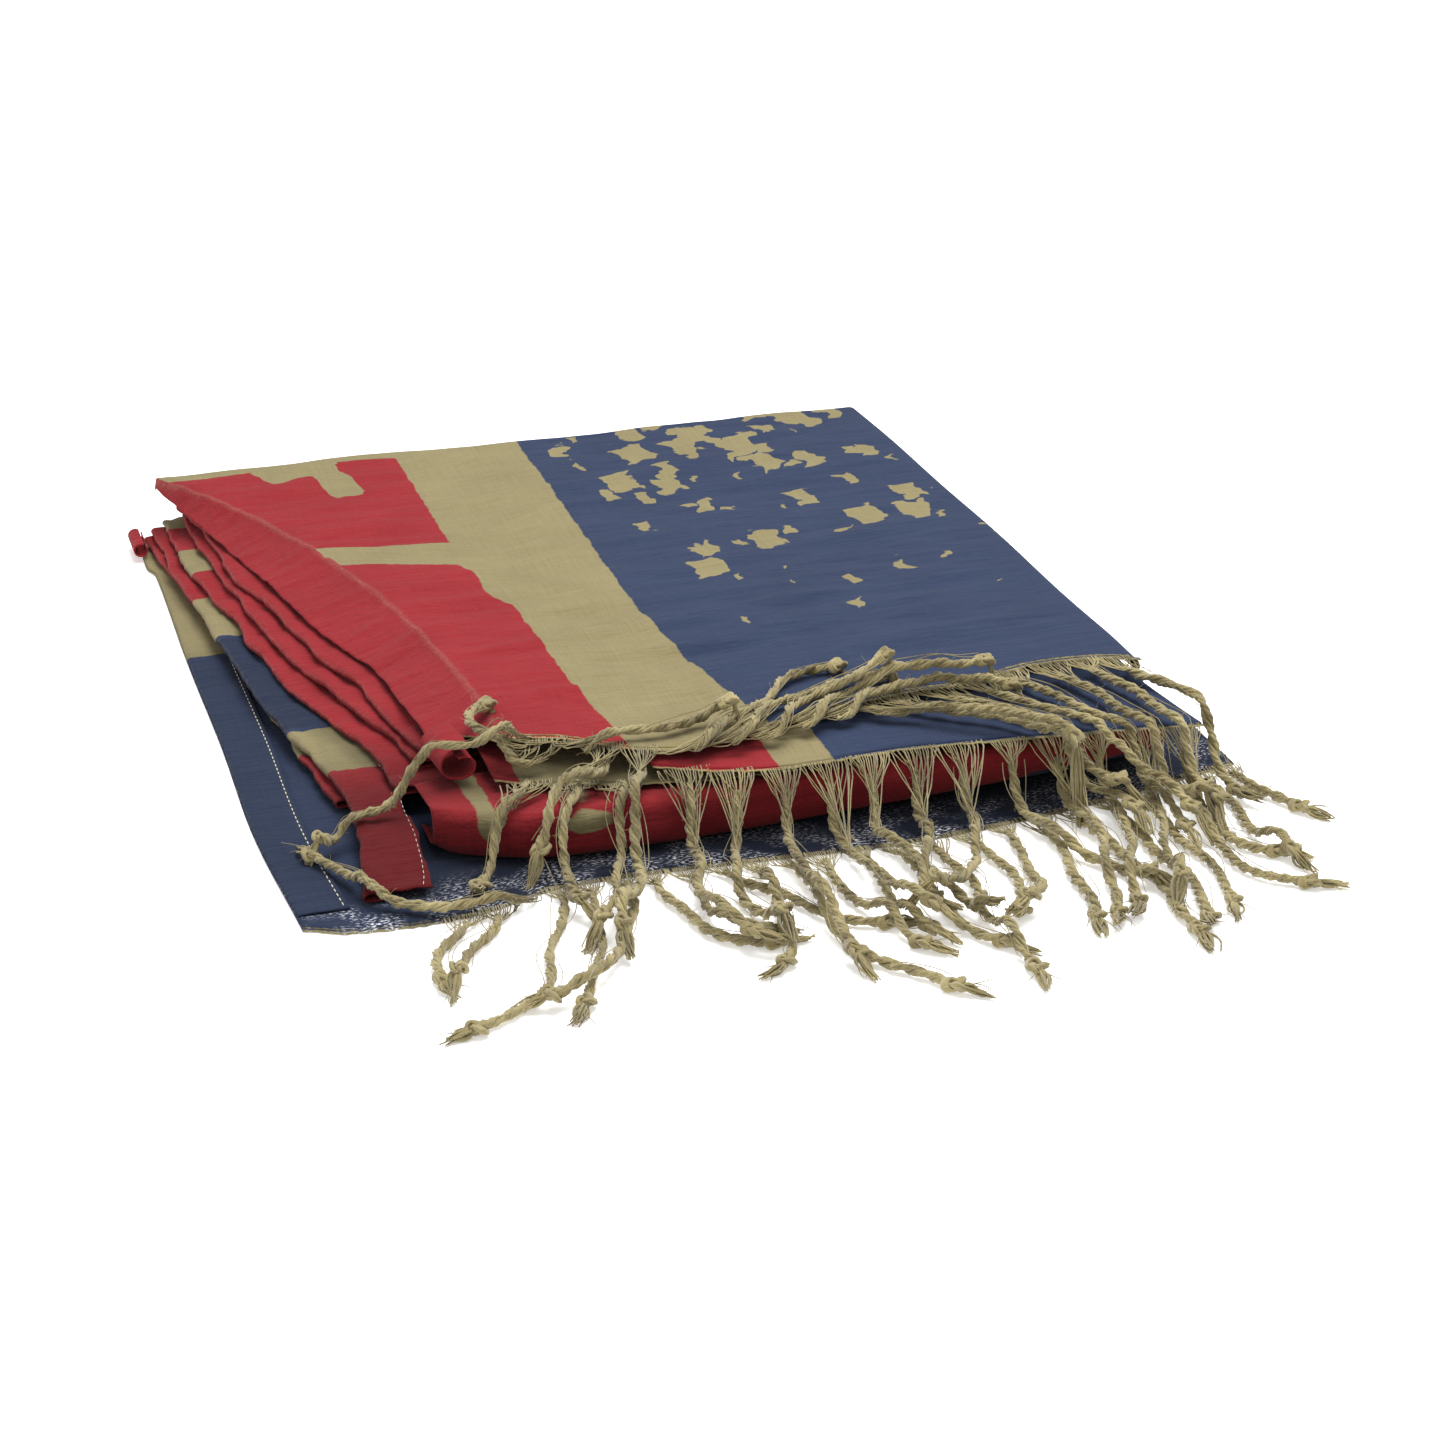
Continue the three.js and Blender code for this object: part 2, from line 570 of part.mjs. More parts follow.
function pointOnEdge(edgePoints, x) {
  const place = edgePoints.findIndex(point => point.x <= x);
  const [right, left] = [edgePoints[place - 1], edgePoints[place]];
  return right.clone().lerp(left, (right.x - x) / (right.x - left.x));
}

function layCord(sheet, edgePoints, row, laid) {
  const root = pointOnEdge(edgePoints, row.at)
    .add(new THREE.Vector3(0, -rootInStrip.ahead, -rootInStrip.sunk));
  const route = [root];
  for (let run = fineStep; run <= row.length; run += fineStep) {
    const share = run / row.length;
    const degrees = row.heading + row.turn * share + row.hook * smoothstep(share, 0.45, 1)
      + sway * Math.sin(run / 9 + row.at);
    const angle = THREE.MathUtils.degToRad(degrees) * smoothstep(run, -4, bendRun);
    const last = route.at(-1);
    const step = new THREE.Vector3(Math.sin(angle), -Math.cos(angle), 0).setLength(fineStep);
    route.push(last.clone().add(step).setZ(0));
  }
  const laidPoints = laid.flat();
  const needed = route.map((point, k) => {
    if (k === 0) return root.z;
    const crossed = laidPoints.map(other => {
      const distance = Math.hypot(other.x - point.x, other.y - point.y);
      return distance < cordSpacing ? other.z + Math.sqrt(cordSpacing ** 2 - distance ** 2) : 0;
    });
    const surface = surfaceUnder(point.x, point.y, sheet, k * fineStep > rootRun);
    return Math.max(surface + cordRadius + parting, ...crossed);
  });
  const rise = steepest * fineStep;
  let heights = needed.map((_, k) => Math.max(...needed.map((z, other) => z - rise * Math.abs(k - other))));
  for (let pass = 0; pass < smoothings; pass++) {
    heights = heights.map((z, k) => {
      const before = heights[Math.max(k - 1, 0)];
      const after = heights[Math.min(k + 1, heights.length - 1)];
      return Math.max(needed[k], (before + 2 * z + after) / 4);
    });
  }
  heights[0] = root.z;
  route.forEach((point, k) => point.setZ(heights[k]));
  let run = 0;
  const end = route.findIndex((point, k) => {
    run += k ? point.distanceTo(route[k - 1]) : 0;
    return run > row.length;
  });
  return end < 0 ? route : route.slice(0, end);
}

// One cord as a four-sided tube. It starts as a flat fan of warp threads and ends in a knot.
const fanThinning = 1.35;
const knotHeight = 1.1;       // a knot lies flat: it is wider than it is high
const tipTaper = 0.7;

function cordSolid(route, knot) {
  const curve = new THREE.CatmullRomCurve3(route);
  const length = curve.getLength();
  const count = Math.round(length / cordStep);
  const rings = steps(0, 1, count).map((share, k) => {
    const middle = curve.getPointAt(share);
    const ahead = curve.getTangentAt(share);
    const side = new THREE.Vector3(ahead.y, -ahead.x, 0).normalize();
    const up = side.clone().cross(ahead);
    const gather = (1 - smoothstep(share * length, 0, fanLength)) * Math.abs(ahead.y);
    const swell = k === count - 1 ? knot : 1;
    const taper = k === count ? tipTaper : 1;
    const halfWidth = (cordRadius + (fanWidth - cordRadius) * gather) * swell * taper;
    const halfHeight = (cordRadius - fanThinning * gather) * Math.min(swell, knotHeight) * taper;
    return [[0, -1], [-1, 0], [0, 1], [1, 0]].map(([across, above]) => middle.clone()
      .addScaledVector(side, across * halfWidth).addScaledVector(up, above * halfHeight));
  });
  return loft(rings);
}

// The unprinted strip along a front edge, parted from the cloth, with its cords.
const stripWall = 0.8;
const stripDrop = 0.1;

function fringe(sheet, edgePoints, laid) {
  const rows = [parting + frontEdgeWidth, parting]
    .map(ahead => edgePoints.map(point => point.clone().add(new THREE.Vector3(0, -ahead, -stripDrop))));
  let solid = toManifold(wallOfCloth(rows, stripWall));
  for (const row of fringes[sheet]) {
    const route = layCord(sheet, edgePoints, row, laid);
    laid.push(route);
    solid = solid.add(toManifold(cordSolid(route, row.knot)));
  }
  return fromManifold(solid);
}

const base = baseSheet();
const third = fringedSheet('third_sheet', { y: -30, z: 20.0, taper: 0 });
const second = fringedSheet('second_sheet', { y: -28, z: 24.6, taper: 10 });
const top = topSheet();

addPiece('base_sheet', wallOfCloth(base, baseTop), cottonNavy);
addPiece('side_hem', sideHem(), cottonNavy);
for (const [name, edge] of Object.entries(foldEdges)) addPiece(name, pressedFold(edge), foldColours[name]);
addPiece('hidden_layers', hiddenBody(), cottonRed);
addPiece('low_front_fold', lowFrontFold(), cottonNavy);
addPiece('front_fold', wideFrontFold(), cottonRed);
addPiece('third_sheet', wallOfCloth(third), cottonTan);
addPiece('second_sheet', wallOfCloth(second), cottonNavy);
addPiece('top_sheet', wallOfCloth(top), cottonNavy);
addPiece('curled_end', curledEnd(), cottonRed);
addPiece('rolled_corner', rolledCorner(), cottonRed);

// The fringes are laid from the bottom up, each cord on those before it. The top one ends at the crease.
const topFringeLeft = -85;
const laidCords = [];
addPiece('base_fringe', fringe('base_sheet', base[0], laidCords), cottonTan);
addPiece('third_fringe', fringe('third_sheet', third[0], laidCords), cottonTan);
addPiece('second_fringe', fringe('second_sheet', second[0], laidCords), cottonTan);
const topEdge = top[0].filter(point => point.x > topFringeLeft);
addPiece('top_fringe', fringe('top_sheet', topEdge, laidCords), cottonTan);

// The origin is set to the middle of the footprint.
const footprint = new THREE.Box3().setFromObject(scarf);
const centre = footprint.getCenter(new THREE.Vector3());
scarf.position.set(-centre.x, -centre.y, 0);

export default scarf;
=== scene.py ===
# A fringed cotton scarf, folded to a low stack and laid flat on a pale floor.
import json
import math

import bmesh
import bpy
import numpy as np
from mathutils import Vector, noise
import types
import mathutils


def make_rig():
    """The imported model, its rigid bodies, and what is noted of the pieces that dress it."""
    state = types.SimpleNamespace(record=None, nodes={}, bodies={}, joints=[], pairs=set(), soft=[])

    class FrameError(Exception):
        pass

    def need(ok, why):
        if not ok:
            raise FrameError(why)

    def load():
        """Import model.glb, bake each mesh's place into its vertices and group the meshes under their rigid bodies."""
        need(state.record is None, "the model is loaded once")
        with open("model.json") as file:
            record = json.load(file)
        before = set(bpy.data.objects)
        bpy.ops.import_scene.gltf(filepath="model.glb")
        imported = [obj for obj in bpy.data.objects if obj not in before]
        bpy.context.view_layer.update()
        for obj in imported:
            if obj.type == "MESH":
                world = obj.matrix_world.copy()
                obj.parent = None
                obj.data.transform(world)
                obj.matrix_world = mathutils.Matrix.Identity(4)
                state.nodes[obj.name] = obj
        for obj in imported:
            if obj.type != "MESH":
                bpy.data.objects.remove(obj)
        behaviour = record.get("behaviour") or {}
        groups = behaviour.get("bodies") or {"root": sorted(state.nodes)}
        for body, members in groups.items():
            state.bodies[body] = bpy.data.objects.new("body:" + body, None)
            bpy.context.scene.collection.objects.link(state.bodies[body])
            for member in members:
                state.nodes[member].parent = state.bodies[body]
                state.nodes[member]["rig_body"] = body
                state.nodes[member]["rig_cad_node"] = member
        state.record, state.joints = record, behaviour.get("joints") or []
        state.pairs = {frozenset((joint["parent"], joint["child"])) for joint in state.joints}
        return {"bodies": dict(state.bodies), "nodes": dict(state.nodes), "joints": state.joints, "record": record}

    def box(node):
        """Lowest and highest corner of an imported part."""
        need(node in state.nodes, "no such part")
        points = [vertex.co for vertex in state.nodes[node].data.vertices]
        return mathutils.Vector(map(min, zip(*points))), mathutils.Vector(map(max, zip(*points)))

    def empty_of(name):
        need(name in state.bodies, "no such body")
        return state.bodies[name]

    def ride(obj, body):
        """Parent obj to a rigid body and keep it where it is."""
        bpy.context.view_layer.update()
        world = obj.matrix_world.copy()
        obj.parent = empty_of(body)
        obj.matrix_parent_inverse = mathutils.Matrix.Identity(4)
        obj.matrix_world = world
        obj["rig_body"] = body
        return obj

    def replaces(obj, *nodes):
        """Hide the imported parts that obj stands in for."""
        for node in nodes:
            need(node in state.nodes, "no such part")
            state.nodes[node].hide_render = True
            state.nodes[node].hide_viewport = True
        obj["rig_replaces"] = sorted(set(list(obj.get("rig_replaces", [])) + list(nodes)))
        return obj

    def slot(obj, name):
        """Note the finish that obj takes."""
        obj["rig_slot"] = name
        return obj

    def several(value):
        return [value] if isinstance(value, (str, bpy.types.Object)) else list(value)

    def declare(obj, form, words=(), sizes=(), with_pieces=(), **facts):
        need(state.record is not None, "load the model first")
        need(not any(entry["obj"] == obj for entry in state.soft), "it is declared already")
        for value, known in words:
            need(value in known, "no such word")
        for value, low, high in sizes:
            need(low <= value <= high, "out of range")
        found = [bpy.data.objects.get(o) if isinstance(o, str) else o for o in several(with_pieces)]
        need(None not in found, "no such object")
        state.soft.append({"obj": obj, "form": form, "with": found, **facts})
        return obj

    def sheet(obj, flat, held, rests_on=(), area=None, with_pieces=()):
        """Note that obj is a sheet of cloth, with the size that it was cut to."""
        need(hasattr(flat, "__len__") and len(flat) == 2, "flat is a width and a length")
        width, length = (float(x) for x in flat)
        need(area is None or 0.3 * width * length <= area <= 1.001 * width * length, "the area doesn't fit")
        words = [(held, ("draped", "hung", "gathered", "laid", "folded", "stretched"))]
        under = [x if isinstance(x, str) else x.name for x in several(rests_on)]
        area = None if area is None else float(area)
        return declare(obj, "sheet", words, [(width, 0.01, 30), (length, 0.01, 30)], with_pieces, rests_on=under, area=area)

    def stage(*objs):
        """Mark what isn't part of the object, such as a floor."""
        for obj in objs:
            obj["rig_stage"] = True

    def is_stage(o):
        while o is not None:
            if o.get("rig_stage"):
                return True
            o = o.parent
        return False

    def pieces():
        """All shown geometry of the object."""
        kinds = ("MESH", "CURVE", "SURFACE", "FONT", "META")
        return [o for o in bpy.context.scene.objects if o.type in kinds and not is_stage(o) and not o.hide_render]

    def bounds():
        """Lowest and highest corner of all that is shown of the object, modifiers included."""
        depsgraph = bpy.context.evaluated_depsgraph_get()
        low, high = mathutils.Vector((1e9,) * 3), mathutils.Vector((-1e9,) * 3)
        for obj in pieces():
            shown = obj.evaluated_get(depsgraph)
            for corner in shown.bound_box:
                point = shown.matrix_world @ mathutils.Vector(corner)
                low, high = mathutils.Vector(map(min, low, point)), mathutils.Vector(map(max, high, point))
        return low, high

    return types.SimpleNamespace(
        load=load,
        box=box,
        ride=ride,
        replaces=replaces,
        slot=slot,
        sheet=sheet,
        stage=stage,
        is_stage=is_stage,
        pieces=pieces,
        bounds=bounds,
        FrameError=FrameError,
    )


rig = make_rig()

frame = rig.load()
cad_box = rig.bounds()

# Viewpoint. The photo is taken from the front and a little to the left, from about arm's length, with a
# short telephoto lens. Places are in millimetres from a point in the stack, and one shift takes them to
# the frame.
BASE_RIGHT, BASE_BACK = 141.0, 212.0
CAMERA_PLACE = (-266.21, -829.15, 396.86)
CAMERA_AIM = (0.0, 0.0, 0.0)
base_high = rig.box("base_sheet")[1]
SHIFT = np.array([base_high.x * 1000 - BASE_RIGHT, base_high.y * 1000 - BASE_BACK, 0.0])


def placed(points):
    """Places in millimetres as places in the frame, in metres."""
    return (np.asarray(points, float) + SHIFT) / 1000


def add_object(name, data):
    made = bpy.data.objects.new(name, data)
    bpy.context.scene.collection.objects.link(made)
    return made


camera = add_object("camera", bpy.data.cameras.new("camera"))
camera.data.lens = 75
camera.data.sensor_width = 36
camera.data.clip_start = 0.01
camera.location = placed(CAMERA_PLACE)
gaze = Vector(placed(CAMERA_AIM)) - camera.location
camera.rotation_euler = gaze.to_track_quat("-Z", "Y").to_euler()
bpy.context.scene.camera = camera


# Studio. A sweep of white paper, a wide soft light from above and behind, and a weaker one from the front
# left. The floor is matt and glows a little, so that it stays an even white under the shadows.
FLOOR_SIZE = 6.0


def linear(colour):
    """An sRGB hex colour as linear values."""
    channels = [int(colour[i:i + 2], 16) / 255 for i in (1, 3, 5)]
    return tuple(c / 12.92 if c <= 0.04045 else ((c + 0.055) / 1.055) ** 2.4 for c in channels) + (1.0,)


def new_material(name, finish):
    """A material whose surface has the given values."""
    material = bpy.data.materials.new(name)
    material.use_nodes = True
    for socket, value in finish.items():
        material.node_tree.nodes["Principled BSDF"].inputs[socket].default_value = value
    return material


def as_mesh(name, shape, material):
    mesh = bpy.data.meshes.new(name)
    shape.to_mesh(mesh)
    shape.free()
    mesh.materials.append(material)
    return mesh


paper = new_material("white_paper_sweep", {
    "Base Color": linear("#fafafa"), "Roughness": 0.9,
    "Emission Color": linear("#ffffff"), "Emission Strength": 0.36})
floor_shape = bmesh.new()
bmesh.ops.create_grid(floor_shape, x_segments=1, y_segments=1, size=FLOOR_SIZE / 2)
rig.stage(add_object("floor", as_mesh("floor", floor_shape, paper)))


def soft_light(name, place, aim, size, power):
    light = bpy.data.lights.new(name, "AREA")
    light.shape = "DISK"
    light.size = size
    light.energy = power
    lamp = add_object(name, light)
    lamp.location = place
    lamp.rotation_euler = (Vector(aim) - lamp.location).to_track_quat("-Z", "Y").to_euler()


soft_light("overhead", (0.15, 0.05, 1.0), (0, 0, 0), 0.8, 13.5)
soft_light("front_left", (-1.3, -1.1, 1.1), (0, 0, 0.02), 1.2, 3)
bpy.context.scene.view_settings.view_transform = "Standard"
world = bpy.data.worlds.new("studio")
bpy.context.scene.world = world
world.use_nodes = True
world.node_tree.nodes["Background"].inputs["Color"].default_value = linear("#ffffff")
world.node_tree.nodes["Background"].inputs["Strength"].default_value = 0.6

# Bottom stretch. One length of plain-woven cotton voile, printed tan behind and navy in front, lies flat
# on the floor. Its last few millimetres in front are unprinted and open, where the fringe grows.
PRINT_TAN = linear("#847a59")
PRINT_RED = linear("#88252a")
PRINT_NAVY = linear("#2e3850")
BARE_COTTON = linear("#968a5f")
# The paler tone of a thin line along the sharp creases.
PALE_CREASE_TONE = linear("#a88c7c")
# The pale colour of painted glints, light seen through the open weave.
PAINTED_GLINT_COLOUR = linear("#dcdde4")
CLOTH_THICK = 0.45
THREAD_PITCH = 0.9       # the real pitch is 0.4 mm, which is finer than the picture
THREAD_DEPTH = 0.00010


def table(columns, rows):
    return {name: np.array([row[i] for row in rows], float) for i, name in enumerate(columns)}


def follow(rows, key, at, value):
    """Reads a table along one of its columns, on a smooth curve through its rows."""
    order = np.argsort(rows[key])
    x, y = rows[key][order], rows[value][order]
    at = np.clip(at, x[0], x[-1])
    i = np.clip(np.searchsorted(x, at, side="right") - 1, 0, len(x) - 2)
    before, after = np.maximum(i - 1, 0), np.minimum(i + 2, len(x) - 1)
    span = x[i + 1] - x[i]
    t = (at - x[i]) / span
    slope_from = (y[i + 1] - y[before]) / (x[i + 1] - x[before]) * span
    slope_to = (y[after] - y[i]) / (x[after] - x[i]) * span
    return ((2 * t**3 - 3 * t**2 + 1) * y[i] + (t**3 - 2 * t**2 + t) * slope_from
            + (3 * t**2 - 2 * t**3) * y[i + 1] + (t**3 - t**2) * slope_to)


def ease(value, low, high):
    t = np.clip((value - low) / (high - low), 0, 1)
    return t * t * (3 - 2 * t)


def unevenness(x, y, wide, deep, seed):
    """Smooth random height from -1 to 1, with patches so many millimetres wide and deep."""
    flat = zip(np.ravel(x) / wide, np.ravel(y) / deep)
    return np.array([noise.noise((a, b, seed * 7.3)) for a, b in flat]).reshape(np.shape(x)) * 1.6


def add_node(tree, kind, inputs=(), output=0, **settings):
    """Adds a node with its settings and its inputs, which are values or links, and gives one output."""
    made = tree.nodes.new("ShaderNode" + kind)
    for setting, value in settings.items():
        setattr(made, setting, value)
    for socket, value in inputs.items() if isinstance(inputs, dict) else enumerate(inputs):
        if isinstance(value, bpy.types.NodeSocket):
            tree.links.new(value, made.inputs[socket])
        else:
            made.inputs[socket].default_value = value
    return made.outputs[output]


def voile_material():
    """Printed cotton voile: thin plain weave with slubs, matt, with a soft nap and ragged print edges."""
    material = new_material("printed_cotton_voile", {
        "Roughness": 0.88, "Specular IOR Level": 0.1, "Sheen Weight": 0.05, "Sheen Roughness": 0.5})
    tree = material.node_tree
    surface = tree.nodes["Principled BSDF"].inputs
    millimetres = add_node(tree, "Mapping", {
        "Vector": add_node(tree, "TexCoord", output="Object"), "Scale": (1000, 1000, 1000)})
    threads = add_node(tree, "UVMap", uv_map="threads")
    zone = {name: add_node(tree, "Attribute", output="Fac", attribute_name=name)
            for name in ("red_mm", "navy_mm", "bare_mm", "flecks", "worn", "shade", "sheer")}

    # Red and navy over tan. The edges wander by up to 0.8 mm, as printed ink does along the threads.
    ragged = add_node(tree, "TexNoise", {"Vector": millimetres, "Scale": 0.25, "Detail": 3.0,
                                         "Roughness": 0.6}, "Fac")
    ragged = add_node(tree, "Math", [ragged, 1.6, -0.8], operation="MULTIPLY_ADD")
    colour = PRINT_TAN
    for attribute, ink in (("red_mm", PRINT_RED), ("navy_mm", PRINT_NAVY)):
        inside = add_node(tree, "Math", [zone[attribute], ragged], operation="ADD")
        inside = add_node(tree, "Math", [inside, 2.2, 0.5], operation="MULTIPLY_ADD", use_clamp=True)
        colour = add_node(tree, "Mix", {0: inside, 6: colour, 7: ink}, 2, data_type="RGBA")

    # Tan flecks, one to a cell of 15 mm by 24 mm, larger where the flecked zone is stronger.
    bent = add_node(tree, "TexNoise", {"Vector": millimetres, "Scale": 0.11, "Detail": 2.0}, "Color")
    bent = add_node(tree, "VectorMath", [bent, (0.5, 0.5, 0.5)], operation="SUBTRACT")
    bent = add_node(tree, "VectorMath", [bent, (14, 14, 0)], operation="MULTIPLY")
    cells = add_node(tree, "VectorMath", [millimetres, bent], operation="ADD")
    cells = add_node(tree, "Mapping", {"Vector": cells, "Rotation": (0, 0, 0.6),
                                       "Scale": (1 / 15, 1 / 24, 0)})
    cells = add_node(tree, "TexVoronoi", {"Vector": cells, "Scale": 1.0, "Randomness": 1.0}, "Color",
                     voronoi_dimensions="2D", distance="MANHATTAN")
    size = add_node(tree, "Math", [zone["flecks"], 0.65, -0.55], operation="MULTIPLY_ADD")
    size = add_node(tree, "Math", [add_node(tree, "SeparateColor", [cells]), 0.75, size],
                    operation="MULTIPLY_ADD")
    inside = add_node(tree, "Math", [size, cells.node.outputs["Distance"]], operation="SUBTRACT")
    inside = add_node(tree, "Math", [inside, 30.0], operation="MULTIPLY", use_clamp=True)
    flecked = add_node(tree, "Math", [zone["flecks"], 0.05], operation="GREATER_THAN")
    inside = add_node(tree, "Math", [inside, flecked], operation="MULTIPLY")
    colour = add_node(tree, "Mix", {0: inside, 6: colour, 7: PRINT_TAN}, 2, data_type="RGBA")

    # The unprinted edge, and a paler line along the sharp creases.
    patchy = add_node(tree, "TexNoise", {"Vector": threads, "Scale": 0.8, "Detail": 2.0}, "Fac")
    bare = add_node(tree, "Math", [patchy, 2.4, -1.2], operation="MULTIPLY_ADD")
    bare = add_node(tree, "Math", [zone["bare_mm"], bare], operation="ADD")
    bare = add_node(tree, "Math", [bare, 1.5, 0.5], operation="MULTIPLY_ADD", use_clamp=True)
    colour = add_node(tree, "Mix", {0: bare, 6: colour, 7: BARE_COTTON}, 2, data_type="RGBA")
    crease_line = add_node(tree, "Math", [patchy, 2.0, -0.3], operation="MULTIPLY_ADD", use_clamp=True)
    crease_line = add_node(tree, "Math", [zone["worn"], crease_line], operation="MULTIPLY")
    colour = add_node(tree, "Mix", {0: crease_line, 6: colour, 7: PALE_CREASE_TONE}, 2, data_type="RGBA")

    # Plain weave: crossing threads, slubs along weft and warp, broad wear, and painted shade from the shade attribute,
    # deep in the folds and on the cloth in front of and under the stack.
    waves, slubs = [], []
    for axis, drawn_out in (("X", (0.05, 1.3, 1)), ("Y", (1.1, 0.04, 1))):
        across = add_node(tree, "SeparateXYZ", [threads], axis)
        across = add_node(tree, "Math", [across, 2 * math.pi / THREAD_PITCH], operation="MULTIPLY")
        waves.append(add_node(tree, "Math", [across], operation="SINE"))
        along = add_node(tree, "Mapping", {"Vector": threads, "Scale": drawn_out})
        slubs.append(add_node(tree, "TexNoise", {"Vector": along, "Scale": 1.0, "Detail": 3.0,
                                                 "Roughness": 0.7}, "Fac"))
    crossing = add_node(tree, "Math", waves, operation="MULTIPLY")
    slubs = add_node(tree, "Math", slubs, operation="ADD")
    wear = add_node(tree, "TexNoise", {"Vector": millimetres, "Scale": 0.035, "Detail": 5.0}, "Fac")
    shade = add_node(tree, "Math", [slubs, 0.40, 0.60], operation="MULTIPLY_ADD")
    for pattern, strength, start in ((wear, 0.30, 0.85), (crossing, 0.13, 1.0), (zone["shade"], -0.6, 1.0)):
        tone = add_node(tree, "Math", [pattern, strength, start], operation="MULTIPLY_ADD")
        shade = add_node(tree, "Math", [shade, tone], operation="MULTIPLY")
    tint = add_node(tree, "CombineColor", [shade, shade, shade])
    colour = add_node(tree, "Mix", {0: 1.0, 6: colour, 7: tint}, 2, data_type="RGBA", blend_type="MULTIPLY")

    # Painted glints of light: pale dashes between the threads, in patches where the cloth lies open, stand in for the
    # pale floor's light seen through the weave.
    gaps = add_node(tree, "Mapping", {"Vector": threads, "Scale": (0.7, 1.7, 1)})
    gaps = add_node(tree, "TexNoise", {"Vector": gaps, "Scale": 1.0, "Detail": 2.0}, "Fac")
    gaps = add_node(tree, "Math", [gaps, 9.0, -4.7], operation="MULTIPLY_ADD", use_clamp=True)
    patches = add_node(tree, "TexNoise", {"Vector": threads, "Scale": 0.07, "Detail": 1.0}, "Fac")
    patches = add_node(tree, "Math", [patches, 5.0, -2.0], operation="MULTIPLY_ADD", use_clamp=True)
    glints = add_node(tree, "Math", [zone["sheer"], patches], operation="MULTIPLY")
    glints = add_node(tree, "Math", [gaps, glints], operation="MULTIPLY")
    colour = add_node(tree, "Mix", {0: glints, 6: colour, 7: PAINTED_GLINT_COLOUR}, 2, data_type="RGBA")
    tree.links.new(colour, surface["Base Color"])

    # Relief: fine crinkles that run across the cloth, slubs and thread crossings.
    crinkle = add_node(tree, "Mapping", {"Vector": millimetres, "Scale": (0.03, 0.16, 0.2)})
    crinkle = add_node(tree, "TexNoise", {"Vector": crinkle, "Scale": 1.0, "Detail": 6.0,
                                          "Roughness": 0.62}, "Fac")
    relief = add_node(tree, "Math", [crossing, 0.35], operation="MULTIPLY")
    relief = add_node(tree, "Math", [slubs, 1.2, relief], operation="MULTIPLY_ADD")
    relief = add_node(tree, "Math", [crinkle, 24.0, relief], operation="MULTIPLY_ADD")
    bump = add_node(tree, "Bump", {"Height": relief, "Strength": 0.8, "Distance": THREAD_DEPTH})
    tree.links.new(bump, surface["Normal"])
    return material


voile = voile_material()


def lay_cloth(name, along, across, form, zones, node, slot, thick=CLOTH_THICK):
    """A stretch of cloth from a fine grid. form turns shares along and across it into places on its outer
    face, in millimetres, and zones gives how far inside each printed colour they are."""
    shape = bmesh.new()
    bmesh.ops.create_grid(shape, x_segments=along, y_segments=across, size=0.5)
    shares = np.array([vert.co[:2] for vert in shape.verts]) + 0.5
    points = form(shares[:, 0], shares[:, 1])
    for vert, place in zip(shape.verts, placed(points)):
        vert.co = place
    mesh = as_mesh(name, shape, voile)
    grid = points.reshape(across + 1, along + 1, 3)
    run = [np.cumsum(np.linalg.norm(np.diff(grid, axis=axis, prepend=np.take(grid, [0], axis)), axis=2), axis)
           for axis in (1, 0)]
    layer = mesh.uv_layers.new(name="threads")
    corners = np.zeros(len(mesh.loops), int)
    mesh.loops.foreach_get("vertex_index", corners)
    layer.data.foreach_set("uv", np.stack([r.ravel()[corners] for r in run], 1).astype(np.float32).ravel())
    for attribute, values in zones(points, shares[:, 0], shares[:, 1]).items():
        data = mesh.attributes.new(attribute, "FLOAT", "POINT").data
        data.foreach_set("value", np.broadcast_to(values, len(points)).astype(np.float32))
    mesh.shade_smooth()
    piece = add_object(name + "_cloth", mesh)
    wall = piece.modifiers.new("cloth", "SOLIDIFY")
    wall.thickness = thick / 1000
    wall.offset = -1
    wall.use_even_offset = False
    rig.ride(piece, "root")
    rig.replaces(piece, node)
    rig.slot(piece, slot)
    return piece


def creased(x, y, creases):
    """The height of soft troughs and ridges at a place. Each runs between two places, with a width, a
    height and a bow sideways."""
    height = np.zeros(np.shape(x))
    for x0, y0, x1, y1, width, rise, bow in creases:
        length = math.hypot(x1 - x0, y1 - y0)
        run = ((x - x0) * (x1 - x0) + (y - y0) * (y1 - y0)) / length
        side = ((x - x0) * (y1 - y0) - (y - y0) * (x1 - x0)) / length
        share = run / length
        side = side - bow * 4 * share * (1 - share)
        reach = ease(share, -0.12, 0.25) * (1 - ease(share, 0.75, 1.12))
        height += rise * reach * np.exp(-(side / width) ** 2)
    return height


BASE_TOP = 0.7
BASE_EDGE = table(["x", "y", "z"], [
    [-153, -98, 1.2], [-138, -104, 1.2], [-106, -104, 1.2], [-78, -95, 1.2], [-30, -96, 1.2],
    [21, -99, 1.2], [60, -96, 1.2], [96, -90, 1.4], [141, -79, 2.4]])
BASE_LEFT = table(["y", "x"], [
    [212, -155], [185, -156], [178, -154], [100, -155], [24, -155], [-39, -156], [-98, -153]])
BASE_NAVY_FRONT = 98
FAR = -99.0              # how far inside a colour a place is that lies well outside it


def base_form(u, v):
    left, right = BASE_EDGE["x"][0], BASE_EDGE["x"][-1]
    x = left + u * (right - left)
    front = follow(BASE_EDGE, "x", x, "y")
    y = front + v * (BASE_BACK - front)
    x = x + (follow(BASE_LEFT, "y", y, "x") - left) * (right - x) / (right - left)
    wave = 0.22 * unevenness(x, y, 26, 17, 1) + 0.1 * unevenness(x, y, 9, 6, 2)
    return np.stack([x, y, BASE_TOP + wave], 1)


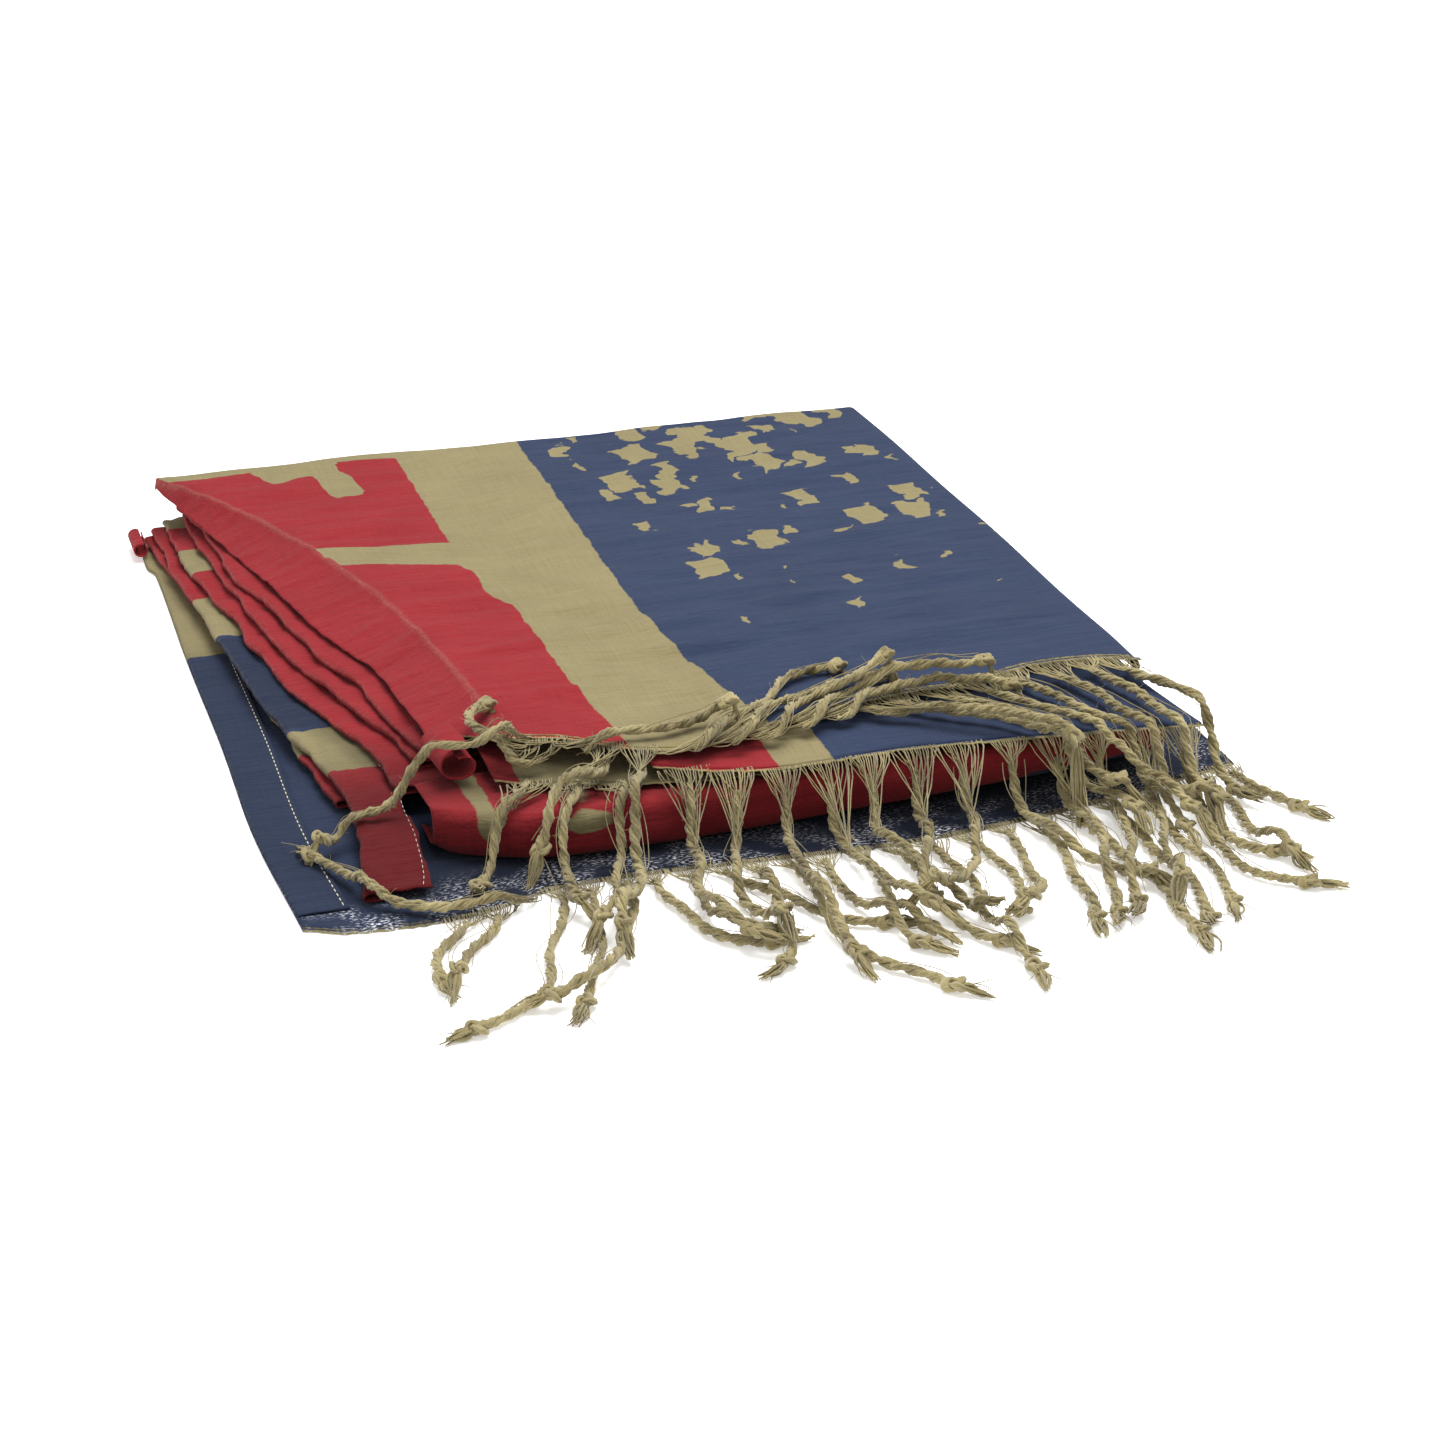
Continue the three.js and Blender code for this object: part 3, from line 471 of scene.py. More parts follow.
def base_zones(points, u, v):
    ahead = points[:, 1] - follow(BASE_EDGE, "x", points[:, 0], "y")
    aside = points[:, 0] - BASE_EDGE["x"][0]
    # Painted glints of light through the weave near the front and left edges, and painted shade, darker over the navy
    # front and most at the front left under the stack.
    return {"navy_mm": BASE_NAVY_FRONT - points[:, 1], "red_mm": FAR, "bare_mm": 0.2 - ahead,
            "sheer": np.clip(1.15 - np.minimum(ahead / 22, aside / 16 + 0.7), 0, 1),
            "shade": np.maximum(0.4 - 0.2 * ease(points[:, 1], 90, 110),
                                1.1 * ease(points[:, 0], -150, -105) * (1 - ease(points[:, 1], -60, -30)))}


base_sheet = lay_cloth("base_sheet", 140, 130, base_form, base_zones, "base_sheet", "navy_voile")


# Side hem. The cloth's long edge is turned in 15 mm and stitched down by machine with off-white cotton
# thread, 2.9 mm from hole to hole.
HEM_WIDTH = 15
HEM_FRONT, HEM_BACK = -92, 205
HEM_TOP = 1.72
STITCH_PITCH, STITCH_LENGTH = 2.9, 2.1


def hem_form(u, v):
    y = HEM_FRONT + v * (HEM_BACK - HEM_FRONT)
    x = follow(BASE_LEFT, "y", y, "x") + 0.2 + u * HEM_WIDTH
    rounded = np.sqrt(np.clip(1 - (1 - np.clip(u * 12, 0, 1)) ** 2, 0, 1))
    ridge = 0.12 * unevenness(x, y, 5, 9, 3)
    return np.stack([x, y, 0.75 + 0.85 * rounded + ridge * rounded], 1)


def hem_zones(points, u, v):
    return {"navy_mm": BASE_NAVY_FRONT - points[:, 1], "red_mm": FAR, "bare_mm": FAR,
            "shade": 0.5 - 0.4 * ease(points[:, 1], 90, 110)}


side_hem = lay_cloth("side_hem", 24, 230, hem_form, hem_zones, "side_hem", "navy_voile", 0.4)

# Off-white sewing thread, a little smoother than the cloth, so that each stitch shows as a pale dash.
sewing_thread = new_material("cotton_sewing_thread", {"Base Color": linear("#cfc8b2"), "Roughness": 0.7})


def sew(name, line, stout):
    """A row of stitches so stout along a line of places on the cloth, in millimetres."""
    line = np.asarray(line, float)
    run = np.concatenate([[0], np.cumsum(np.linalg.norm(np.diff(line, axis=0), axis=1))])
    shape = bmesh.new()
    for start in np.arange(0.5, run[-1] - STITCH_PITCH, STITCH_PITCH):
        ends = [np.array([np.interp(at, run, line[:, k]) for k in range(3)])
                for at in (start, start + STITCH_LENGTH)]
        made = bmesh.ops.create_uvsphere(shape, u_segments=6, v_segments=4, radius=0.001)["verts"]
        bmesh.ops.scale(shape, vec=(stout, stout, STITCH_LENGTH / 2), verts=made)
        lie = Vector(ends[1] - ends[0]).to_track_quat("Z", "Y")
        bmesh.ops.rotate(shape, matrix=lie.to_matrix(), verts=made)
        bmesh.ops.translate(shape, vec=placed((ends[0] + ends[1]) / 2), verts=made)
    mesh = as_mesh(name, shape, sewing_thread)
    mesh.shade_smooth()
    piece = add_object(name, mesh)
    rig.ride(piece, "root")
    return piece


seam_y = np.linspace(HEM_FRONT + 1, HEM_BACK - 1, 200)
seam_x = follow(BASE_LEFT, "y", seam_y, "x") + HEM_WIDTH - 1.2
hem_stitches = sew("hem_stitches", np.stack([seam_x, seam_y, np.full(200, HEM_TOP)], 1), 0.2)
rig.sheet(side_hem, (0.015, 0.297), "folded", [base_sheet], with_pieces=[hem_stitches])

# Pressed folds. The stack's left side shows the folded edges of the hidden stretches, from the bottom up,
# each a soft double edge. The second from below runs out in front, narrows and turns down, and its own
# edge is stitched.
FOLD_HEIGHT = 2.7
FOLD_COLUMNS = ["y", "x", "z", "depth"]
FOLDS = {
    "fold_6": table(FOLD_COLUMNS, [
        [207, -154, 3.75, 34], [150, -147, 3.75, 34], [49, -138, 3.75, 34], [5, -134, 3.6, 34],
        [-30, -131, 3.3, 34]]),
    "fold_5": table(FOLD_COLUMNS, [
        [207, -151, 6.8, 34], [165, -150, 6.8, 34], [134, -148, 6.8, 34], [98, -145, 6.8, 34],
        [48, -140, 6.8, 34], [15, -136, 6.8, 34], [-12, -131, 6.8, 34], [-26, -128.5, 6.8, 34],
        [-40, -128, 6.6, 16], [-58, -129, 5.8, 17], [-74, -131, 4.4, 18], [-91, -134, 3.0, 20]]),
    "fold_4": table(FOLD_COLUMNS, [
        [206, -147, 9.85, 34], [163, -146, 9.85, 34], [140, -143, 9.85, 34], [98, -137, 9.85, 34],
        [48, -131, 9.85, 34], [18, -123, 9.85, 34], [-6, -116, 9.85, 34], [-40, -113, 9.85, 34]]),
    "fold_3": table(FOLD_COLUMNS, [
        [203, -140, 12.9, 34], [167, -139, 12.9, 34], [134, -136, 12.9, 34], [108, -133, 12.9, 34],
        [85, -130, 12.9, 34], [61, -127, 12.9, 34], [39, -121, 12.9, 34], [18, -116, 12.9, 34],
        [0, -111, 12.9, 34], [-30, -104, 12.9, 34]]),
    "fold_2": table(FOLD_COLUMNS, [
        [203, -141, 15.95, 34], [177, -137, 15.95, 34], [137, -134, 15.95, 34], [109, -129, 15.95, 34],
        [80, -123, 15.95, 34], [53, -119, 15.95, 34], [29, -111, 15.95, 34], [-5, -107, 15.95, 34],
        [-30, -102, 15.95, 34]]),
}


def pressed_fold_form(edge, seed):
    def form(u, v):
        front, back = edge["y"].min(), edge["y"].max()
        y = front + u * (back - front)
        x = follow(edge, "y", y, "x")
        x = x + 1.1 * unevenness(y, 0 * y, 19, 1, seed) + 0.3 * unevenness(y, y, 5, 9, seed)
        half = FOLD_HEIGHT / 2
        upper, bend, lower = (np.clip((v - a) / b, 0, 1) for a, b in ((0, 0.62), (0.62, 0.23), (0.85, 0.15)))
        angle = np.radians(90 + 180 * bend)
        flat = follow(edge, "y", y, "depth") - half
        x = x + half + half * np.cos(angle) + flat * (1 - upper) ** 1.4 + 0.4 * flat * lower
        z = follow(edge, "y", y, "z") + half * np.sin(angle)
        ripple = (0.8 * unevenness(x, y, 6, 15, seed + 0.5) + 0.3 * unevenness(x, y, 3, 6, seed)) * (1 - bend)
        return np.stack([x, y, z + np.minimum(ripple, 0.2)], 1)
    return form


def fold_zones(red_spans, navy_spans):
    """How far inside the printed spans along the fold, from back to front, a place is."""
    def inside(y, spans):
        return np.max([np.minimum(high - y, y - low) for low, high in spans] + [np.full(len(y), FAR)], axis=0)

    def zones(points, u, v):
        y = points[:, 1]
        red, navy = inside(y, red_spans), inside(y, navy_spans)
        # Painted shade: darker toward the inside of each fold, toward the front end ahead of y = 10 mm, and on navy
        # spans.
        deep = [0.9 - 0.9 * ease(v, 0.25, 0.55), 1.0 - ease(y, -45, 10), 0.6 * ease(navy, 0, 4)]
        return {"red_mm": red, "navy_mm": navy, "bare_mm": FAR, "shade": np.max(deep, axis=0),
                "worn": 0.12 * np.exp(-((v - 0.7) / 0.03) ** 2)}
    return zones


FOLD_PRINTS = {
    "fold_6": ("red_voile", [(-99, 5), (49, 260)], []),
    "fold_5": ("navy_voile", [(134, 260), (-99, -17)], [(15, 98)]),
    "fold_4": ("red_voile", [(-99, 150), (172, 196)], []),
    "fold_3": ("red_voile", [(-99, 260)], []),
    "fold_2": ("red_voile", [(-99, 260)], []),
}
FOLD_CUTS = {"fold_6": (0.050, 0.240), "fold_5": (0.046, 0.303), "fold_4": (0.050, 0.251),
             "fold_3": (0.050, 0.238), "fold_2": (0.050, 0.239)}
TURNED_SEAM = table(["y", "x"], [
    [-16, -114], [-29, -111.5], [-48, -113], [-62, -113], [-77, -114.2], [-86, -115.5], [-95, -118]])
seam_y = np.linspace(-16, -92, 60)
seam_x = np.interp(-seam_y, -TURNED_SEAM["y"], TURNED_SEAM["x"])
seam_z = follow(FOLDS["fold_5"], "y", seam_y, "z") + 1.5
turned_stitches = sew("turned_stitches", np.stack([seam_x, seam_y, seam_z], 1), 0.11)
folds = {}
for seed, (fold, (slot, red, navy)) in enumerate(FOLD_PRINTS.items()):
    folds[fold] = lay_cloth(fold, 230, 26, pressed_fold_form(FOLDS[fold], 11 + seed), fold_zones(red, navy),
                            fold, slot)
    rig.sheet(folds[fold], FOLD_CUTS[fold], "folded", list(folds.values())[-2:-1] or [base_sheet],
             with_pieces=[turned_stitches] if fold == "fold_5" else [])


# Hidden stretches. The rest of the cloth inside the stack shows as soft layered edges at the right and
# the back, where it is folded to and fro. One sheet runs round them, from the lowest layer up.
GROOVE = 2.4
LAYER_CORNER = 9.0
LAYERS = table(["bottom", "top", "front", "right", "back", "left_front", "left_back"], [
    [1.6, 5.1, -40, 133, 208, -95, -118], [5.4, 8.1, -40, 128, 206, -92, -115],
    [8.5, 11.2, -40, 124, 207, -77, -111], [11.5, 14.2, -40, 120, 205, -68, -104],
    [14.6, 17.3, -40, 121, 206, -66, -105], [17.7, 21.4, -24, 112, 204, -94, -142],
    [21.8, 25.6, -24, 110, 202, -79, -140]])
LAYER_COUNT = len(LAYERS["top"])


def layers_form(u, v):
    layer = np.minimum((v * LAYER_COUNT).astype(int), LAYER_COUNT - 1)
    rise = v * LAYER_COUNT - layer
    bottom, top, front, right, back, left_front, left_back = (values[layer] for values in LAYERS.values())
    nose = GROOVE * (1 - np.sqrt(np.clip(1 - (2 * rise - 1) ** 2, 0, 1)))
    split = 0.9 * np.exp(-((rise - 0.5) / 0.09) ** 2) * (layer % 2)
    inset = nose + split
    depth, width = back - front, right - left_front
    run = u * (width + depth + right - left_back)
    x = np.where(run < width, left_front + run,
                 np.where(run < width + depth, right, right - (run - width - depth)))
    y = np.where(run < width, front, np.where(run < width + depth, front + run - width, back))
    shift = 1.5 * unevenness(run, layer * 40.0, 34, 40, 21) + 0.6 * unevenness(run, layer * 40.0, 8, 40, 22)
    inset = inset + np.abs(shift)
    near_right, near_back = LAYER_CORNER - (right - x), LAYER_CORNER - (back - y)
    at_corner = (near_right > 0) & (near_back > 0)
    reach = np.where(at_corner, np.hypot(near_right, near_back), LAYER_CORNER)
    pull = np.where(reach > LAYER_CORNER, LAYER_CORNER / np.maximum(reach, 1e-6), 1)
    x = np.where(at_corner, right - LAYER_CORNER + near_right * pull, x)
    y = np.where(at_corner, back - LAYER_CORNER + near_back * pull, y)
    out_x = np.where(run < width, 0, np.where(run < width + depth, 1.0, 0))
    out_y = np.where(run < width, -1.0, np.where(run < width + depth, 0, 1.0))
    z = bottom + rise * (top - bottom)
    z = z + 0.45 * unevenness(run, layer * 31.0, 26, 31, 23) * np.sin(np.pi * rise)
    return np.stack([x - out_x * inset, y - out_y * inset, z], 1)


def layers_zones(points, u, v):
    x, y = points[:, 0], points[:, 1]
    layer = np.minimum((v * LAYER_COUNT).astype(int), LAYER_COUNT - 1)
    return {"navy_mm": np.where(layer % 3 == 1, 60 - y, x + 10), "bare_mm": FAR,
            "red_mm": np.where(layer % 3 == 2, y - 40, -60 - x)}


hidden_layers = lay_cloth("hidden_layers", 280, 56, layers_form, layers_zones, "hidden_layers", "red_voile")
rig.sheet(hidden_layers, (0.68, 0.08), "folded", [base_sheet])

# Front folds. The wide red fold faces front under the fringed stretches, and a lower one lies in its
# shade at the right.
FRONT_FOLD = table(["x", "y", "top", "bottom"], [
    [-108.5, -67, 15.4, 3.4], [-103, -72, 16.0, 1.9], [-92, -78, 16.4, 1.8], [-78, -83, 16.6, 1.8],
    [-50, -84, 17.0, 1.8], [-20, -84, 17.6, 2.2], [20, -85, 18.2, 4.5], [55, -86, 18.6, 6.6],
    [90, -84, 18.6, 7.6], [116, -80, 18.2, 7.8]])
FRONT_FOLD_BACK = -43
LOW_FOLD = table(["x", "y", "z"], [[22, -74, 3.1], [45, -76, 3.8], [80, -75, 4.6], [118, -70, 4.8]])


def front_fold_form(u, v):
    x = FRONT_FOLD["x"].max() + u * (FRONT_FOLD["x"].min() - FRONT_FOLD["x"].max())
    face, top = follow(FRONT_FOLD, "x", x, "y"), follow(FRONT_FOLD, "x", x, "top")
    bottom = np.maximum(follow(FRONT_FOLD, "x", x, "bottom"), 1.75)
    half = (top - bottom) / 2
    bulge = np.minimum(half, 4)
    upper, bend, lower = (np.clip((v - a) / b, 0, 1) for a, b in ((0, 0.35), (0.35, 0.5), (0.85, 0.15)))
    angle = np.radians(90 + 180 * bend)
    slack = 0.5 * unevenness(x, 40 * bend, 34, 14, 31) + 0.25 * unevenness(x, 40 * bend, 11, 7, 32)
    y = face + bulge + bulge * np.cos(angle) - slack * np.sin(np.pi * bend)
    back = FRONT_FOLD_BACK - (face + bulge)
    y = y + back * ((1 - upper) ** 1.2 + 0.6 * lower)
    z = (top + bottom) / 2 + half * np.sin(angle) - 2.4 * (1 - upper)
    return np.stack([x, y, z + 0.2 * slack * (1 - bend)], 1)


def front_fold_zones(points, u, v):
    x, z = points[:, 0], points[:, 2]
    patch = np.maximum(3.2 - np.hypot((x + 66) / 2.2, z - 13), 2.6 - np.hypot((x + 94) / 1.2, (z - 13) / 2))
    return {"red_mm": -patch, "navy_mm": np.minimum(x - 70, 9.5 - z), "bare_mm": FAR,
            "shade": 0.55 * ease(18 - z, 0, 6)}


front_fold = lay_cloth("front_fold", 200, 44, front_fold_form, front_fold_zones, "front_fold", "red_voile")


def low_fold_form(u, v):
    x = LOW_FOLD["x"].max() + u * (LOW_FOLD["x"].min() - LOW_FOLD["x"].max())
    face, z = follow(LOW_FOLD, "x", x, "y"), follow(LOW_FOLD, "x", x, "z")
    half = 1.2
    upper, bend, lower = (np.clip((v - a) / b, 0, 1) for a, b in ((0, 0.35), (0.35, 0.4), (0.75, 0.25)))
    angle = np.radians(90 + 180 * bend)
    back = FRONT_FOLD_BACK - (face + half)
    y = face + half + half * np.cos(angle) + back * ((1 - upper) + 0.6 * lower)
    return np.stack([x, y + 0.5 * unevenness(x, 0 * x, 17, 1, 33) * np.sin(np.pi * bend),
                     z + half * np.sin(angle)], 1)


def navy_zones(points, u, v):
    return {"red_mm": FAR, "navy_mm": -FAR, "bare_mm": FAR}


low_front_fold = lay_cloth("low_front_fold", 110, 22, low_fold_form, navy_zones, "low_front_fold",
                           "navy_voile")
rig.sheet(front_fold, (0.228, 0.075), "folded", [base_sheet])
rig.sheet(low_front_fold, (0.096, 0.052), "folded", [base_sheet])

# Fringed stretches under the top one. Two show as lips in front: a tan one at the left, and one printed
# red, tan and navy along the whole front.
EDGES = {
    "base_sheet": BASE_EDGE,
    "third_sheet": table(["x", "y", "z"], [
        [-88, -58, 19.0], [-78, -63, 18.6], [-66, -66, 18.2], [-50, -72, 18.6], [-28, -77, 19.2],
        [0, -79, 19.6]]),
    "second_sheet": table(["x", "y", "z"], [
        [-44, -72, 23.2], [-26, -80, 23.0], [-8, -84, 23.0], [30, -83, 23.2], [60, -86, 23.2],
        [90, -89, 23.0], [122, -93, 22.6]]),
    "top_sheet": table(["x", "y", "z"], [
        [-102, -33, 27.2], [-92, -36, 27.2], [-84, -46, 27.2], [-67, -53, 27.4], [-47, -66, 26.8],
        [-29, -70, 26.6], [-7, -64, 27.0], [6, -60, 27.2], [40, -54, 27.6], [60, -53, 27.6],
        [86, -46, 27.6], [110, -47, 27.4], [121, -51, 27.0]]),
}


def lip_form(edge, back_y, back_z, taper):
    def form(u, v):
        left, right = edge["x"].min(), edge["x"].max()
        x = left + u * (right - left)
        front, z = follow(edge, "x", x, "y"), follow(edge, "x", x, "z")
        wave = 0.18 * unevenness(x, v * 40, 13, 9, 41)
        return np.stack([x - taper * v * u, front + v * (back_y - front),
                         z + (back_z - z) * ease(v, 0, 0.9) + wave * ease(v, 0, 0.1)], 1)
    return form


def third_zones(points, u, v):
    return {"red_mm": -81 - points[:, 0], "navy_mm": FAR, "bare_mm": FAR, "shade": 0.5}


def second_zones(points, u, v):
    return {"red_mm": -9 - points[:, 0], "navy_mm": points[:, 0] - 8, "bare_mm": FAR}


third_sheet = lay_cloth("third_sheet", 90, 30, lip_form(EDGES["third_sheet"], -30, 20.0, 0), third_zones,
                        "third_sheet", "tan_voile")
second_sheet = lay_cloth("second_sheet", 120, 30, lip_form(EDGES["second_sheet"], -28, 24.6, 10),
                         second_zones, "second_sheet", "navy_voile")

# Top stretch. The last fold of the cloth lies over the stack: rolled under at the right and the back,
# pressed to a slanting crease at the left, where it turns down as a band.
STACK_TOP = 27.6
TOP_RIGHT, TOP_BACK, TOP_SIDE_FRONT = 118, 205, -45
ROLL = 3.4
CREASE_HALF = 5          # the cloth starts to bend over this far from the pressed crease
FLAT_FROM, BAND_FROM = 0.05, 0.87
ROLLED_UNDER_FROM = 0.955
TOP_CREASE = table(["y", "x"], [
    [207, -149], [159, -122.5], [133, -113], [109, -105.5], [90, -100.6], [65, -94], [32, -88.4], [0, -84.6],
    [-50, -82]])
BAND_EDGE = table(["y", "x", "z"], [
    [207, -149, 23.5], [186, -142, 20.5], [170, -137, 19.4], [117, -126, 19.2], [66, -117, 19.2],
    [42, -111, 19.2], [20, -105, 19.2], [-8, -103, 19.4], [-32, -101, 20.4]])
RED_EDGE = table(["y", "x"], [
    [210, -61], [101, -62], [88, -63], [80, -60], [60, -60], [54, -57], [49, -54.5], [17, -54], [-10, -53.5],
    [-40, -51], [-73, -48]])
NAVY_EDGE = table(["y", "x"], [[208, -14], [110, -16], [30, -17], [-20, -12], [-60, -5]])
TOP_CREASES = [
    [-50, 150, 60, 168, 5, 0.45, 4], [-20, 120, 95, 128, 6, -0.5, -5], [-95, 60, -10, 72, 4, 0.4, 3],
    [-70, 40, 30, 34, 5, -0.45, 4], [-85, 12, 15, 20, 3.5, 0.45, -3], [-60, -8, 60, 6, 4.5, -0.5, 5],
    [0, 60, 110, 78, 6, 0.5, -4], [20, 20, 112, 30, 4, -0.4, 3], [-80, -22, 0, -18, 3, 0.35, 2],
    [30, -20, 110, -12, 4, 0.45, -3], [-110, 130, -40, 118, 4, -0.35, 2], [-125, 175, -50, 182, 5, 0.4, -2],
    [0, 185, 100, 178, 6, -0.4, 4], [-40, 95, 40, 98, 3.5, 0.3, 2], [-30, 2, 30, -4, 2.6, 0.3, 1]]


def top_height(x, y):
    return STACK_TOP + 0.35 * np.sin(x / 23 + y / 41) + 0.3 * np.sin(y / 17 - x / 60)


def top_form(u, v):
    share = np.clip(u / ROLLED_UNDER_FROM, 0, 1)
    rolled = np.clip((u - ROLLED_UNDER_FROM) / (1 - ROLLED_UNDER_FROM), 0, 1)
    side_y = TOP_SIDE_FRONT + share * (TOP_BACK - TOP_SIDE_FRONT)
    crease, band_x = follow(TOP_CREASE, "y", side_y, "x"), follow(BAND_EDGE, "y", side_y, "x")
    bend = CREASE_HALF / (crease + CREASE_HALF - band_x)
    fall = STACK_TOP - follow(BAND_EDGE, "y", side_y, "z")
    angle = np.radians(-30 + 120 * np.clip(v / FLAT_FROM, 0, 1))
    flat = np.clip((v - FLAT_FROM) / (BAND_FROM - FLAT_FROM), 0, 1)
    band = np.clip((v - BAND_FROM) / (1 - BAND_FROM), 0, 1)
    x = TOP_RIGHT + ROLL * np.cos(angle)
    x = x + flat * (crease + CREASE_HALF - TOP_RIGHT) + band * (band_x - crease - CREASE_HALF)
    past = np.clip((band - bend) / (1 - bend), 0, 1)
    drop = ROLL * (1 - np.sin(angle)) + 0.7 * np.clip(band / bend, 0, 1) ** 3 + (fall - 0.7) * past ** 0.92
    pressed = 0.45 * np.exp(-((band - bend) / (0.28 * bend)) ** 2) * (band > 0)
    front = follow(EDGES["top_sheet"], "x", x, "y")
    y = front + share * (TOP_BACK - front)
    near_edge = 1 - ease(y - front, 0, 26)
    height = top_height(x, y) * (1 - near_edge) + follow(EDGES["top_sheet"], "x", x, "z") * near_edge
    loose = (1 - near_edge) * ease(flat, 0, 0.03)
    height = height + 1.9 * loose * creased(x, y, TOP_CREASES) * (1 - band)
    height = height + loose * (0.55 * unevenness(x, y, 34, 7.5, 51) + 0.25 * unevenness(x, y, 14, 3.4, 52))
    down = 4.6 * rolled ** 1.6 * (1 - np.minimum(drop / 8, 0.85))
    ripple = 0.7 * unevenness(side_y, band * 20, 13, 17, 53)
    ripple = ripple + 0.25 * unevenness(side_y, band * 20, 5, 14, 54)
    ripple = ripple * np.sin(np.pi * band) * ease(side_y, -20, 60)
    y = y + 3.2 * np.sin(np.pi / 2 * rolled)
    return np.stack([x - ripple, y, height + pressed - drop - down], 1)


def top_zones(points, u, v):
    x, y = points[:, 0], points[:, 1]
    side_y = TOP_SIDE_FRONT + np.clip(u / ROLLED_UNDER_FROM, 0, 1) * (TOP_BACK - TOP_SIDE_FRONT)
    band = x < follow(TOP_CREASE, "y", side_y, "x") + 0.4
    stripe = 8 + 0.05 * (x + 98) - np.abs(y - (108 - 0.27 * (x + 98)))
    red = np.minimum(follow(RED_EDGE, "y", y, "x") - x, -stripe)
    lobes = unevenness(x, y, 17, 26, 55) + 0.5 * unevenness(x, y, 8, 30, 56)
    margin = 199 - y - 34 * np.clip(lobes + 0.15, 0, 1) * ease(x, -140, -118) * (1 - ease(x, -78, -66))
    red = np.where(band, 5.0, np.minimum(red, margin))
    ahead = y - follow(EDGES["top_sheet"], "x", x, "y")
    region = ease(y, -5, 75) * ease(x, -8, 4) * (0.62 + 0.38 * (1 - ease(np.hypot(x - 30, y - 160), 40, 90)))
    crease_line = np.exp(-((x - follow(TOP_CREASE, "y", side_y, "x")) / 0.7) ** 2)
    return {"red_mm": red, "navy_mm": np.where(band, FAR, x - follow(NAVY_EDGE, "y", y, "x")),
            "bare_mm": 0.4 - ahead, "flecks": region, "worn": 0.25 * crease_line * ease(y, -50, -30)}


top_sheet = lay_cloth("top_sheet", 200, 200, top_form, top_zones, "top_sheet", "navy_voile")

# Rolled ends. The band's front end curls into an open roll, and a corner of the cloth rolls out at the
# back left. Both are the same red voile, curled by the pull of their hems.
CURL_FRONT, CURL_LENGTH, CURL_RADIUS = -53, 17, 6.6
CORNER_FRONT, CORNER_LENGTH, CORNER_RADIUS = 193, 16, 2.6


def curl_form(u, v):
    y = CURL_FRONT + u * CURL_LENGTH
    angle = np.radians(70 + 400 * v)
    radius = CURL_RADIUS - 3.9 * v + 0.3 * unevenness(v * 30, y, 6, 9, 61)
    middle = -96 - (y - CURL_FRONT) * 0.1
    return np.stack([middle + 1.2 * radius * np.cos(angle), y, 21.8 + 0.95 * radius * np.sin(angle)], 1)


def red_zones(points, u, v):
    return {"red_mm": -FAR, "navy_mm": FAR, "bare_mm": FAR}


def corner_form(u, v):
    y = CORNER_FRONT + u * CORNER_LENGTH
    angle = np.radians(60 + 330 * v)
    radius = CORNER_RADIUS + 0.08 * unevenness(v * 20, y, 4, 6, 62)
    return np.stack([-156.6 + radius * np.cos(angle), y, 5.0 + radius * np.sin(angle)], 1)


curled_end = lay_cloth("curled_end", 24, 70, curl_form, red_zones, "curled_end", "red_voile")
rolled_corner = lay_cloth("rolled_corner", 20, 40, corner_form, red_zones, "rolled_corner", "red_voile")
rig.sheet(curled_end, (0.017, 0.036), "folded", [top_sheet])
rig.sheet(rolled_corner, (0.016, 0.015), "folded", [base_sheet])

# Fringe. In front of each printed edge the cloth is unprinted and open. Its warp threads are gathered
# and twisted into cords of two plies, each knotted near its end, with a frayed tip.
PARTING, STRIP_WIDTH, CORD_RADIUS, CORD_SPACING = 0.35, 4.5, 1.8, 5.1
# Each cord: where it leaves the edge, its first heading, how far it turns along its whole length and how far
# it hooks in its last half, in degrees, and its length.
FRINGES = {
    "base_sheet": [
        [-108, -50, 30, 40, 48], [-99, -32, 4, 0, 54], [-80, -8, -36, -28, 96],
        [-90, -84, -112, 10, 96], [-71, -6, -22, -6, 80], [-61, -6, -34, -56, 92],
        [-52, -10, 52, 62, 70], [-42, -10, 30, 74, 60], [-32, 12, 46, 30, 72],
        [-22, -4, 2, -54, 76], [-12, -8, 26, 42, 104], [-2, -6, 18, 44, 74],
        [9, 10, -34, 60, 66], [20, 2, -8, 54, 78], [31, -6, 16, -18, 94],
        [43, 10, -24, -20, 62], [55, 0, -26, -30, 66], [67, 2, -30, 16, 74],
        [79, 4, 4, -18, 92], [91, 0, 10, -30, 88], [103, -6, 18, -24, 84],
        [115, 0, 10, 50, 66], [126, -4, 2, 14, 72], [136, 10, 4, 20, 46]],
    "third_sheet": [
        [-80, -50, 20, 20, 58], [-66, -26, 20, 40, 70], [-54, -16, -10, -30, 84]],
    "second_sheet": [
        [-36, -14, 10, 72, 92], [-23, -22, 40, -10, 86], [-9, -12, 20, 6, 100],
        [5, -8, 28, 50, 88], [18, -6, 26, 44, 90], [32, -14, -20, 82, 86],
        [46, -2, -52, -60, 92], [61, 8, 24, 30, 84], [75, 2, -20, -24, 92],
        [88, -8, -12, -26, 90], [102, -16, 8, -30, 88], [114, -10, 18, 80, 92]],
    "top_sheet": [
        [112, 22, 0, 8, 78], [102, 16, -4, -12, 88], [90, 22, -10, 16, 92],
        [77, 32, -20, -10, 96], [64, 43, -24, 14, 94], [51, 50, -30, -22, 92],
        [38, 58, -30, 22, 88], [25, 74, -40, -20, 82], [12, 122, -46, -20, 78],
        [0, 132, -56, -10, 84], [-12, 146, -58, 0, 66], [-24, 152, -64, -4, 82],
        [-36, 160, -72, 12, 88], [-46, -24, 4, 16, 96], [-55, -58, 6, 24, 58],
        [-64, 96, 10, -24, 66], [-71, -96, -150, -60, 64], [-80, -112, 60, 6, 94]],
}
